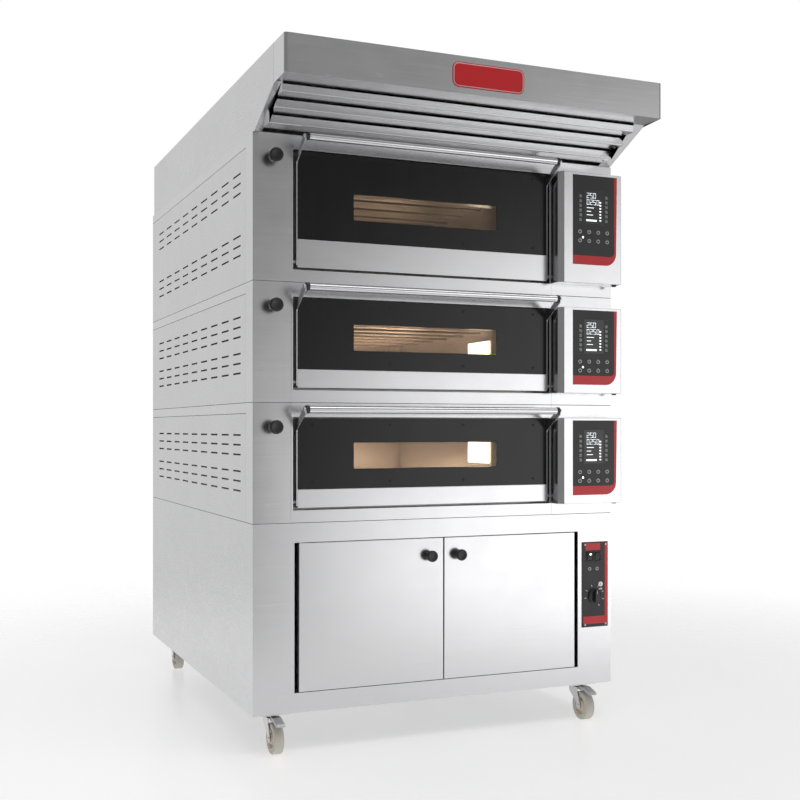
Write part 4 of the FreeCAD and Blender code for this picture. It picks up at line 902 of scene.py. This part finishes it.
def controlPlate():
    low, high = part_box("prover_control_plate")
    face = low.y
    nodes["prover_control_plate"].data.materials.clear()
    nodes["prover_control_plate"].data.materials.append(finish["keypadFilm"])
    red, film = plateLook["red"], plateLook["film"]
    right = high.x - red["right"]
    foot = low.z + red["foot"]
    outline = [(low.x + 0.004, foot), (right, foot), (right, high.z - 0.004), (right - red["width"], high.z - 0.004),
               (right - red["width"], foot + red["band"]), (low.x + 0.004, foot + red["band"])]
    platePiece("plateRedEdge", outline, "XZ", face - film, face, "controlRed", "oven", 0.0001)
    x0, x1, tall = plateLook["brand"]
    platePiece("plateRedTab", boxPoints((low.x + x0, high.z - 0.0045 - tall), (low.x + x1, high.z - 0.0045), 0.003), "XZ",
               face - film, face, "controlRed", "oven", 0.0001)
    corners = [(low.x + plateLook["screwIn"][0], face, high.z - plateLook["screwIn"][1]),
               (high.x - plateLook["screwIn"][1], face, high.z - plateLook["screwIn"][1]),
               (low.x + plateLook["screwIn"][0], face, low.z + plateLook["screwIn"][1]),
               (high.x - plateLook["screwIn"][1], face, low.z + plateLook["screwIn"][1])]
    scatter("plateScrews", frontScrew, corners, "zincPlate", "oven", 0.9)
    rings = bmesh.new()
    for word in ("left", "right"):
        rockerLow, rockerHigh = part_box("rocker_" + word)
        middle = (rockerLow + rockerHigh) / 2
        bezel = plateLook["bezel"]
        halfWide, halfTall = bezel["width"] / 2, bezel["height"] / 2
        hole = boxPoints((middle.x - halfWide + bezel["rim"], middle.z - halfTall + bezel["rim"]),
                         (middle.x + halfWide - bezel["rim"], middle.z + halfTall - bezel["rim"]), 0.001)
        platePiece("rockerBezel" + word.title(), boxPoints((middle.x - halfWide, middle.z - halfTall),
                                                          (middle.x + halfWide, middle.z + halfTall), 0.003),
                   "XZ", face - bezel["depth"], face, "blackPlastic", "oven", 0.0008, [hole])
        nodes["rocker_" + word].data.materials.clear()
        nodes["rocker_" + word].data.materials.append(finish["blackPlastic"])
        turn(rings, [(-0.0003, plateLook["ring"][0]), (-0.0003, plateLook["ring"][1]), (0, plateLook["ring"][1]),
                     (0, plateLook["ring"][0])], (middle.x, face, middle.z - 0.046), "Y", 28)
    # lit lens set into the left rocker, which it moves with
    rockerLow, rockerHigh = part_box("rocker_left")
    lathe("rockerLens", [(0.002, 0), (0.002, 0.0040), (-0.0004, 0.0036), (-0.0012, 0)],
          ((rockerLow.x + rockerHigh.x) / 2, rockerLow.y + 0.0012, rockerHigh.z - 0.0050), "Y", "ledGlow",
          "rocker_left", 20)
    dialLow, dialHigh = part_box("thermostat_knob")
    centre = (dialLow + dialHigh) / 2
    dial = plateLook["dial"]
    for k in range(dial["marks"]):
        angle = math.radians(90 + dial["start"] + dial["sweep"] * k / (dial["marks"] - 1))
        out = Vector((math.cos(angle), math.sin(angle)))
        across = Vector((-out.y, out.x))
        here = Vector((centre.x, centre.z)) + out * dial["radius"]
        wide, tall = 0.0012, 0.0040
        corners = [here - across * wide - out * tall, here + across * wide - out * tall, here + across * wide + out * tall,
                   here - across * wide + out * tall]
        slabOf(rings, corners, "XZ", face - 0.0003, face)
    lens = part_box("indicator_lens")
    middle = (lens[0] + lens[1]) / 2
    slabOf(rings, boxPoints((middle.x - 0.008, middle.z - 0.0205), (middle.x + 0.008, middle.z - 0.0145), 0.001), "XZ",
           face - 0.0003, face)
    piece("plateMarks", rings, "printWhite", "oven", smooth=20)
    bulb = lathe("indicatorLens", [(0.003, 0), (0.003, 0.006), (-0.003, 0.006), (-0.0045, 0.0055), (-0.006, 0.004),
                                   (-0.0068, 0.002), (-0.007, 0)],
                 (middle.x, high.y, middle.z), "Y", "whiteLens", "oven", 32)
    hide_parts("indicator_lens")
    lathe("indicatorRim", [(-0.0012, 0.0062), (-0.0012, 0.0085), (0, 0.0092), (0, 0.0062)],
          (middle.x, face, middle.z), "Y", "zincPlate", "oven", 32)


def thermostatDial():
    low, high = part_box("thermostat_knob")
    centre = (low + high) / 2
    flat, proud = high.y, low.y
    skirt = turn(bmesh.new(), [(0, 0), (0, 0.0265), (-0.0008, 0.027), (-0.003, 0.0265), (-0.0045, 0.0225), (-0.006, 0.0215),
                               (-0.006, 0)], (centre.x, flat, centre.z), "Y", 56)
    grip = rounded([(centre.x - 0.007, centre.z - 0.024, 0.005), (centre.x + 0.007, centre.z - 0.024, 0.005),
                    (centre.x + 0.0055, centre.z + 0.024, 0.004), (centre.x - 0.0055, centre.z + 0.024, 0.004)], 6)
    slabOf(skirt, grip, "XZ", proud, flat - 0.0055)
    dial = piece("thermostatDial", skirt, "blackPlastic", "thermostat_knob", 0.0009, 3, 40)
    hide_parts("thermostat_knob")
    platePiece("dialPointer", boxPoints((centre.x - 0.0009, centre.z + 0.010), (centre.x + 0.0009, centre.z + 0.0225)),
               "XZ", proud - 0.0002, proud + 0.0002, "printWhite", "thermostat_knob", 0.0)


controlPlate()
thermostatDial()
print("prover front made")


# ---------- hood ----------
hoodLook = dict(corner=0.012, seam=-0.900, sheet=0.0015, lipReach=0.105, flangeLeft=0.025, flangeRight=0.050, slatThick=0.0015,
                badge=dict(width=0.262, height=0.082, right=0.008, corner=0.022, rim=0.0035, depth=0.003))


def hoodFloorAt(y, front, lip, roof, deckFront):
    # lower edge of the hood's sides: level under the lip, then down to the roof of the top deck
    slopeFront = front + hoodLook["lipReach"]
    if y <= slopeFront:
        return lip
    if y >= deckFront:
        return roof
    return lip + (roof - lip) * (y - slopeFront) / (deckFront - slopeFront)


def sheetOf(obj, thickness):
    # gives a folded surface its thickness inward, keeping the flats flat
    obj.modifiers.new("sheet", "SOLIDIFY").thickness = thickness
    obj.modifiers["sheet"].offset = -1
    edge = obj.modifiers.new("edges", "BEVEL")
    edge.width, edge.segments, edge.angle_limit = 0.0004, 2, math.radians(40)
    obj.modifiers.new("flats", "WEIGHTED_NORMAL").weight = 100
    return settle(obj)


def hood():
    low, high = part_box("hood_shell")
    low.y += hoodLook["badge"]["depth"]
    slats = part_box("hood_slats")
    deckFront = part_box("top_deck_frame")[0].y
    roof, lip = low.z, slats[1].z
    radius, sheet = hoodLook["corner"], hoodLook["sheet"]
    seam = hoodLook["seam"]
    corner = [(low.x, seam), (low.x, low.y + radius)]
    corner += [(low.x + radius - radius * math.cos(a), low.y + radius - radius * math.sin(a))
               for a in (math.pi / 2 * k / 8 for k in range(1, 9))]
    wrap = corner + [(low.x + high.x - x, y) for x, y in reversed(corner)]
    sideLeft = [(low.x, high.y), (low.x, deckFront), (low.x, seam + 0.0008)]
    sideRight = [(low.x + high.x - x, y) for x, y in reversed(sideLeft)]
    for name, plan, material in (("hoodFascia", wrap, "steelFront"), ("hoodSideLeft", sideLeft, "steelSide"),
                                 ("hoodSideRight", sideRight, "steelSide")):
        bm = bmesh.new()
        rows = []
        for x, y in plan:
            foot = hoodFloorAt(y, low.y, lip, roof, deckFront)
            rows.append([bm.verts.new((x, y, z)) for z in (foot, high.z)])
        for before, after in zip(rows, rows[1:]):
            bm.faces.new((before[0], after[0], after[1], before[1]))
        sheetOf(piece(name, bm, material, "oven", smooth=89), sheet)
    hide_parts("hood_shell")
    # roof sheet with the outlet left open
    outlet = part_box("flue_collar")
    centre = (outlet[0] + outlet[1]) / 2
    hole = [(centre.x + 0.0735 * math.cos(2 * math.pi * k / 40), centre.y + 0.0735 * math.sin(2 * math.pi * k / 40))
            for k in range(40)]
    platePiece("hoodRoof", rounded([(low.x + 0.0006, high.y), (low.x + 0.0006, low.y + 0.0006, radius),
                                    (high.x - 0.0006, low.y + 0.0006, radius), (high.x - 0.0006, high.y)], 8),
               "XY", high.z - sheet, high.z + 0.0002, "steelSide", "oven", 0.0004, [hole])
    inner = (low.x + sheet, high.x - sheet)
    platePiece("hoodFloor", boxPoints((inner[0], deckFront), (inner[1], high.y - 0.002)), "XY", roof, roof + 0.0015,
               "steelInner", "oven", 0.0)
    first = slats[0].y
    lipPoints = rounded([(low.y + sheet, lip), (first, lip), (first, lip + 0.012), (first - 0.0015, lip + 0.012),
                         (first - 0.0015, lip + 0.0015), (low.y + sheet, lip + 0.0015)])
    platePiece("hoodLip", lipPoints, "YZ", inner[0], inner[1], "steelFront", "oven", 0.0004)
    for word, x0, x1 in (("Left", inner[0], low.x + hoodLook["flangeLeft"]),
                         ("Right", high.x - hoodLook["flangeRight"], inner[1])):
        outline = [(first, lip), (low.y + hoodLook["lipReach"], lip), (deckFront - 0.002, roof + 0.001),
                   (deckFront - 0.002, roof + 0.0026), (low.y + hoodLook["lipReach"], lip + 0.0016), (first, lip + 0.0016)]
        platePiece("hoodFlange" + word, outline, "YZ", x0, x1, "steelFront", "oven", 0.0004)


slatLook = dict(count=3, pitch=0.071, gap=0.006, thick=0.0015, hem=0.008)


def hoodSlats():
    low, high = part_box("hood_slats")
    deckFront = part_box("top_deck_frame")[0].y
    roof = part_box("hood_shell")[0].z
    lip = high.z
    pitch, thick = slatLook["pitch"], slatLook["thick"]
    grade = (lip - roof) / (deckFront - (low.y + 0.007))
    x0, x1 = low.x + 0.0015, high.x - 0.0015
    screws = []
    for n in range(slatLook["count"]):
        y, yNext = low.y + pitch * n, low.y + pitch * (n + 1)
        top = lip if n == 0 else roof + (deckFront - y) * grade
        foot = roof + (deckFront - yNext) * grade
        top -= slatLook["gap"]
        # angle strip: upright face, bend, level shelf with an upturned hem
        outline = rounded([(y, top), (y, foot, 0.003), (yNext - 0.002, foot), (yNext - 0.002, foot + slatLook["hem"]),
                           (yNext - 0.002 - thick, foot + slatLook["hem"]), (yNext - 0.002 - thick, foot + thick),
                           (y + thick, foot + thick, 0.0015), (y + thick, top)], 5)
        strip = platePiece(f"hoodSlat{n + 1}", outline, "YZ", x0, x1, "steelFront", "oven", 0.0003)
        if n == 0:
            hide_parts("hood_slats")
        screws += [(x, (y + yNext) / 2, foot) for x in (x0 + 0.012, x1 - 0.012)]
    scatter("slatScrews", downScrew, screws, "zincPlate", "oven", 1.1)
    cheek = [(low.y, lip)]
    for n in range(slatLook["count"]):
        foot = roof + (deckFront - (low.y + pitch * (n + 1))) * grade
        cheek += [(low.y + pitch * n, foot), (low.y + pitch * (n + 1), foot)]
    cheek.append((low.y + 0.007, lip))
    for word, near, far in (("Left", low.x, x0), ("Right", x1, high.x)):
        platePiece("slatCheek" + word, cheek, "YZ", near, far, "steelFront", "oven", 0.0003)


def hoodBadge():
    low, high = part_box("hood_shell")
    look = hoodLook["badge"]
    low.y += look["depth"]
    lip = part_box("hood_slats")[1].z
    middle = (look["right"], (lip + high.z) / 2)
    half = (look["width"] / 2, look["height"] / 2)
    rim, depth = look["rim"], look["depth"]

    def outline(inset):
        return boxPoints((middle[0] - half[0] + inset, middle[1] - half[1] + inset),
                         (middle[0] + half[0] - inset, middle[1] + half[1] - inset), look["corner"] - inset)

    platePiece("badgeBack", outline(0), "XZ", low.y - depth * 0.5, low.y, "controlRed", "oven", 0.0006)
    ring = bmesh.new()
    slabOf(ring, outline(rim), "XZ", low.y - depth * 0.7, low.y - depth * 0.5)
    piece("badgeLine", ring, "printWhite", "oven", 0.0002)
    platePiece("badgeFace", outline(rim + 0.0022), "XZ", low.y - depth, low.y - depth * 0.5, "controlRed", "oven",
               0.0006)


hood()
hoodSlats()
hoodBadge()
print("hood made")


# ---------- side louvres ----------
louvreLook = dict(columns=9, pitch=0.160, first=0.151, length=0.097, rowGap=0.0335, rows=3, press=0.009, height=0.0036,
                  banks={"bottom": (0.293, 0.169), "middle": (0.293, 0.169), "top": (0.3815, 0.169)})


def louvreUnit(name, side):
    # the slot's lower edge is pressed inward and up, closed at both ends, so light falls on the lip
    look = louvreLook
    bm = bmesh.new()
    half, steps = look["length"] / 2, 6
    rings = []
    for along, share in ((-half, 0.0), (-half + 0.003, 0.6), (-half + 0.008, 1.0), (half - 0.008, 1.0),
                         (half - 0.003, 0.6), (half, 0.0)):
        ring = []
        for k in range(steps + 1):
            angle = math.pi / 2 * k / steps
            inward = look["press"] * max(share, 0.04) * (1 - math.cos(angle))
            ring.append(bm.verts.new((-side * (inward + 0.0018), along, look["height"] * (math.sin(angle) - 1.25))))
        rings.append(ring)
    for before, after in zip(rings, rings[1:]):
        for k in range(steps):
            bm.faces.new((before[k], before[k + 1], after[k + 1], after[k]))
    obj = unit(name, bm)
    skin = obj.modifiers.new("skin", "SOLIDIFY")
    skin.thickness, skin.offset = 0.0009, 0
    return settle(obj)


def louvres():
    low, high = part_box("side_panels")
    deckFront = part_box("top_deck_frame")[0].y
    for word, x, side in (("Left", low.x, -1), ("Right", high.x, 1)):
        shape = louvreUnit("louvre" + word, side)
        for deck in decks:
            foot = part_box(deck + "_deck_frame")[0].z
            for number, rise in enumerate(louvreLook["banks"][deck], start=1):
                start = (x, deckFront + louvreLook["first"] + louvreLook["length"] / 2,
                         foot + rise - louvreLook["rowGap"] * (louvreLook["rows"] - 1))
                values = {"Unit": shape, "Columns": louvreLook["columns"], "Rows": louvreLook["rows"], "Start": start,
                          "Column Step": (0, louvreLook["pitch"], 0), "Row Step": (0, 0, louvreLook["rowGap"]),
                          "Finish": finish["steelSide"]}
                nodesPiece(f"{deck}Louvres{word}{number}", repeatUnit, values, "oven", smooth=50)
        dropUnits(shape)


louvres()
print("louvres made")


# ---------- castors ----------
castorLook = dict(swivel=0.036, height=0.052, radius=0.052, width=0.034, hub=0.017, cheek=(0.020, 0.023),
                  fork=dict(top=0.118, half=0.029), race=(0.026, 0.010))
castorStands = {"front_left": (-0.6125, -0.637), "front_right": (0.5805, -0.637), "rear_left": (-0.6125, 0.861),
                "rear_right": (0.5805, 0.861)}


def castorWheel(stand):
    body = stand + "_castor_wheel"
    node = stand + "_wheel"
    low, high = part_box(node)
    centre = (low + high) / 2
    half = castorLook["width"] / 2
    radius = (high.z - low.z) / 2
    hub = radius - 0.014
    tread = [(-half, hub), (-half, radius - 0.0040), (-half + 0.0010, radius - 0.0014), (-half + 0.0034, radius),
             (half - 0.0034, radius), (half - 0.0010, radius - 0.0014), (half, radius - 0.0040), (half, hub)]
    tyre = lathe(node.replace("_", "") + "Tread", tread, centre, "X", "castorTread", body, 72)
    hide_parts(node)
    web, boss = 0.006, 0.0165
    profile = [(-half + 0.001, hub - 0.004), (-half + 0.001, hub), (half - 0.001, hub), (half - 0.001, hub - 0.004),
               (web, hub - 0.007), (web, boss + 0.004), (half - 0.0005, boss), (half - 0.0005, 0.0062),
               (-half + 0.0005, 0.0062), (-half + 0.0005, boss), (-web, boss + 0.004), (-web, hub - 0.007)]
    lathe(node.replace("_", "") + "Hub", profile, centre, "X", "castorHub", body, 56, 30)


def castorFork(stand):
    node, body = stand + "_fork", stand + "_castor_fork"
    low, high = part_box(node)
    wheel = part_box(stand + "_wheel")
    axle = (wheel[0] + wheel[1]) / 2
    swivelX, swivelY = castorStands[stand]
    near, far = castorLook["cheek"]
    look = castorLook["fork"]
    top = look["top"]
    for word, side in (("Left", -1), ("Right", 1)):
        outline = rounded([
            (swivelY - look["half"], top - 0.002, 0.004), (swivelY - look["half"], top - 0.016, 0.010),
            (axle.y - 0.013, axle.z + 0.004, 0.008), (axle.y - 0.012, axle.z - 0.012, 0.011),
            (axle.y + 0.012, axle.z - 0.012, 0.011), (axle.y + 0.014, axle.z + 0.010, 0.010),
            (swivelY + look["half"], top - 0.018, 0.010), (swivelY + look["half"], top - 0.002, 0.004)], 6) \
            if axle.y < swivelY else rounded([
                (swivelY + look["half"], top - 0.002, 0.004), (swivelY + look["half"], top - 0.016, 0.010),
                (axle.y + 0.013, axle.z + 0.004, 0.008), (axle.y + 0.012, axle.z - 0.012, 0.011),
                (axle.y - 0.012, axle.z - 0.012, 0.011), (axle.y - 0.014, axle.z + 0.010, 0.010),
                (swivelY - look["half"], top - 0.018, 0.010), (swivelY - look["half"], top - 0.002, 0.004)], 6)
        x0, x1 = sorted((swivelX + side * near, swivelX + side * far))
        cheek = platePiece(node.replace("_", "") + "Cheek" + word, outline, "YZ", x0, x1, "zincPlate", body,
                           0.0007)
        if side < 0:
            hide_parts(node)
    crown = platePiece(node.replace("_", "") + "Crown",
                       boxPoints((swivelX - far, swivelY - look["half"]), (swivelX + far, swivelY + look["half"]), 0.006),
                       "XY", top - 0.003, top, "zincPlate", body, 0.0008)
    race, drop = castorLook["race"]
    lathe(node.replace("_", "") + "Race", [(0, 0.007), (0, race - 0.004), (0.003, race), (drop - 0.003, race),
                                         (drop - 0.0006, race - 0.003), (drop - 0.0006, 0.007)],
          (swivelX, swivelY, top), "Z", "zincPlate", body, 40)
    pin = (far + 0.003)
    lathe(node.replace("_", "") + "Axle", [(-pin, 0), (-pin, 0.0055), (-pin + 0.0045, 0.0075), (-pin + 0.0046, 0.0058),
                                         (pin - 0.0046, 0.0058), (pin - 0.0045, 0.0075), (pin, 0.0055), (pin, 0)],
          (swivelX, axle.y, axle.z), "X", "zincPlate", body, 6)


pedalRidges = (0.30, 0.48, 0.66, 0.84)


def castorPedal(stand):
    node, body = stand + "_pedal", stand + "_brake_pedal"
    low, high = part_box(node)
    swivelX, swivelY = castorStands[stand]
    y0, y1 = low.y, high.y
    wide = (high.x - low.x) / 2
    bm = bmesh.new()
    outline = rounded([(y1, high.z - 0.015), (y1, high.z - 0.001, 0.004), (y1 - 0.030, high.z, 0.02),
                       (y0 + 0.009, low.z + 0.011, 0.006), (y0, low.z + 0.003, 0.0015), (y0 + 0.008, low.z, 0.0015),
                       (y0 + 0.044, high.z - 0.013, 0.02)], 5)
    slabOf(bm, outline, "YZ", swivelX - wide, swivelX + wide)
    tread = piece(node.replace("_", "") + "Tread", bm, "castAlloy", body, 0.0012, 3)
    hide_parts(node)
    # raised treads across the pedal's foot plate
    slope = Vector((y0 + 0.009, low.z + 0.011)) - Vector((y1 - 0.030, high.z))
    ridges = bmesh.new()
    for share in pedalRidges:
        along = Vector((y1 - 0.030, high.z)) + slope * share
        slabOf(ridges, [(along.x - 0.0016, along.y - 0.0012), (along.x + 0.0016, along.y - 0.0004),
                        (along.x + 0.0013, along.y + 0.0012), (along.x - 0.0013, along.y + 0.0006)], "YZ",
               swivelX - wide * 0.8, swivelX + wide * 0.8)
    piece(node.replace("_", "") + "Ridges", ridges, "castAlloy", body, smooth=20)


for stand in castorStands:
    castorWheel(stand)
    castorFork(stand)
    if stand.startswith("front"):
        castorPedal(stand)
print("castors made")


# ---------- rear and gland ----------
rearLook = dict(inset=0.022, columns=5, nut=0.023, cap=0.019, throat=0.011, collarSheet=0.0015, bead=0.0016)


def rearDetails():
    low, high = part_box("rear_panels")
    edges = [low.z] + [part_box(deck + "_deck_frame")[0].z for deck in decks] + [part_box("hood_shell")[0].z, high.z]
    inset, count = rearLook["inset"], rearLook["columns"]
    points = []
    for foot, head in zip(edges, edges[1:]):
        rows = (foot + inset, (foot + head) / 2, head - inset) if head - foot > 0.3 else (foot + inset, head - inset)
        for z in rows:
            inner = range(count) if z != (foot + head) / 2 else (0, count - 1)
            points += [(low.x + inset + (high.x - low.x - 2 * inset) * n / (count - 1), high.y, z) for n in inner]
    scatter("rearScrews", rearScrew, points, "zincPlate", "oven", 1.2)


def cableGland():
    low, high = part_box("cable_gland")
    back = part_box("rear_panels")[1].y
    centre = ((low.x + high.x) / 2, back, (low.z + high.z) / 2)
    throat, nut, cap, reach = rearLook["throat"], rearLook["nut"], rearLook["cap"], high.y - back
    foot = lathe("glandNut", [(0.0002, throat), (0.0002, nut), (0.0085, nut), (0.0100, nut - 0.0015), (0.0100, throat)],
                 centre, "Y", "blackPlastic", "oven", 6)
    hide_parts("cable_gland")
    lathe("glandCap", [(0.0100, throat), (0.0100, cap), (reach - 0.006, cap), (reach - 0.002, cap - 0.0025),
                       (reach, cap - 0.005), (reach, throat)], centre, "Y", "blackPlastic", "oven", 28)
    lathe("glandSeal", [(reach - 0.0028, throat - 0.004), (reach - 0.0028, throat), (reach - 0.008, throat),
                        (reach - 0.008, throat - 0.004)], centre, "Y", "keypadFilm", "oven", 28)


def flueCollar():
    low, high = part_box("flue_collar")
    centre = ((low.x + high.x) / 2, (low.y + high.y) / 2, low.z)
    radius, tall = (high.x - low.x) / 2, high.z - low.z
    sheet, bead = rearLook["collarSheet"], rearLook["bead"]
    outer = [(0, radius), (0.010, radius), (0.012, radius - bead), (0.015, radius - bead), (0.017, radius),
             (tall - 0.0006, radius), (tall, radius - sheet / 2)]
    inner = [(along, r - sheet) for along, r in reversed(outer[:-1])]
    collar = lathe("flueCollar", outer + inner, centre, "Z", "steelSide", "oven", 72, 50)
    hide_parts("flue_collar")


cableGland()
flueCollar()
rearDetails()
dropUnits(frontScrew, rearScrew, downScrew)


# ---------- stage: camera, lights, floor ----------
stageLook = dict(camera=(-1.7458, -4.4056, 1.0821), turn=-23.0, lens=52.5, shift=0.0354)


def camera():
    data = bpy.data.cameras.new("camera")
    data.lens, data.sensor_width, data.shift_y = stageLook["lens"], 36.0, stageLook["shift"]
    obj = bpy.data.objects.new("camera", data)
    obj.location = stageLook["camera"]
    obj.rotation_euler = (math.pi / 2, 0, math.radians(stageLook["turn"]))
    bpy.context.scene.collection.objects.link(obj)
    bpy.context.scene.camera = obj


worldLook = dict(base=0.26, lobes=[dict(toward=(0.60, -0.79, -0.10), start=0.915, end=0.99, lift=1.65),
                                   dict(toward=(-0.28, 0.95, 0.12), start=0.55, end=0.98, lift=0.52),
                                   dict(toward=(0.0, -0.25, 0.97), start=0.70, end=1.0, lift=0.45)])


def world():
    owner = bpy.data.worlds.new("studio")
    bpy.context.scene.world = owner
    t = Tree(owner, "ShaderNodeOutputWorld")
    direction = t.add("ShaderNodeTexCoord").out("Generated")
    level = worldLook["base"]
    for lobe in worldLook["lobes"]:
        near = t.add("ShaderNodeVectorMath", {"operation": "DOT_PRODUCT"}, direction, lobe["toward"]).out("Value")
        level = level + t.add("ShaderNodeMapRange", {"interpolation_type": "SMOOTHSTEP"}, near, lobe["start"],
                              lobe["end"], 0.0, lobe["lift"])
    shade = t.add("ShaderNodeCombineColor", {}, level, level, level)
    soft = t.add("ShaderNodeBackground", {}, shade, 1.0)
    white = t.add("ShaderNodeBackground", {}, (1.0, 1.0, 1.0), 1.0)
    seen = t.add("ShaderNodeLightPath").out("Is Camera Ray")
    t.surface(t.add("ShaderNodeMixShader", {}, seen, soft, white))


def softbox(name, place, aim, size, power, colour=(1, 1, 1)):
    data = bpy.data.lights.new(name, "AREA")
    data.shape, data.size, data.size_y = "RECTANGLE", size[0], size[1]
    data.energy, data.color = power, colour
    obj = bpy.data.objects.new(name, data)
    obj.location = place
    obj.rotation_euler = (Vector(aim) - Vector(place)).to_track_quat("-Z", "Y").to_euler()
    bpy.context.scene.collection.objects.link(obj)


chamberLightLook = dict(power={"bottom": 26.0, "middle": 18.0, "top": 5.0}, colour=(1.0, 0.82, 0.68), size=(0.30, 0.12))


def chamberLight(deck):
    low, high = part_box(deck + "_chamber")
    data = bpy.data.lights.new(deck + "Lamp", "AREA")
    data.shape, (data.size, data.size_y) = "RECTANGLE", chamberLightLook["size"]
    data.energy, data.color = chamberLightLook["power"][deck], chamberLightLook["colour"]
    obj = bpy.data.objects.new(deck + "Lamp", data)
    obj.location = (0.33, 0.2, (low.z + high.z) / 2 + 0.05)
    obj.rotation_euler = Vector((-1, 0.30, 0.06)).to_track_quat("-Z", "Y").to_euler()
    obj.visible_camera = obj.visible_glossy = obj.visible_transmission = False
    bpy.context.scene.collection.objects.link(obj)


def floorSheet():
    mesh = bpy.data.meshes.new("floor")
    mesh.from_pydata([(-9, -9, -0.0005), (9, -9, -0.0005), (9, 9, -0.0005), (-9, 9, -0.0005)], [], [(0, 1, 2, 3)])
    obj = bpy.data.objects.new("floor", mesh)
    bpy.context.scene.collection.objects.link(obj)
    t = newMaterial("floorWhite")
    haze = t.noise((1.5, 1.5, 1.5), 3.0)
    # the floor fades into the white behind it
    away = t.add("ShaderNodeVectorMath", {"operation": "LENGTH"}, t.add("ShaderNodeTexCoord").out("Object")).out("Value")
    fade = t.add("ShaderNodeMapRange", {"interpolation_type": "SMOOTHSTEP"}, away, 1.5, 4.2, 1.0, 0.0)
    finishWith(t, "floorWhite", Base_Color=t.mix(haze, (0.83, 0.83, 0.83), (0.87, 0.87, 0.87)),
               Roughness=haze * 0.1 + 0.22, Specular_IOR_Level=0.5, Emission_Color=(1, 1, 1), Emission_Strength=0.42,
               Alpha=fade)
    mesh.materials.append(bpy.data.materials["floorWhite"])


camera()
world()
softbox("topSoftbox", (0.6, -1.8, 4.6), (0, 0, 1.2), (3.4, 2.6), 45)
for deck in decks:
    chamberLight(deck)
floorSheet()
bpy.context.scene.view_settings.view_transform = "Standard"
print("stage set")
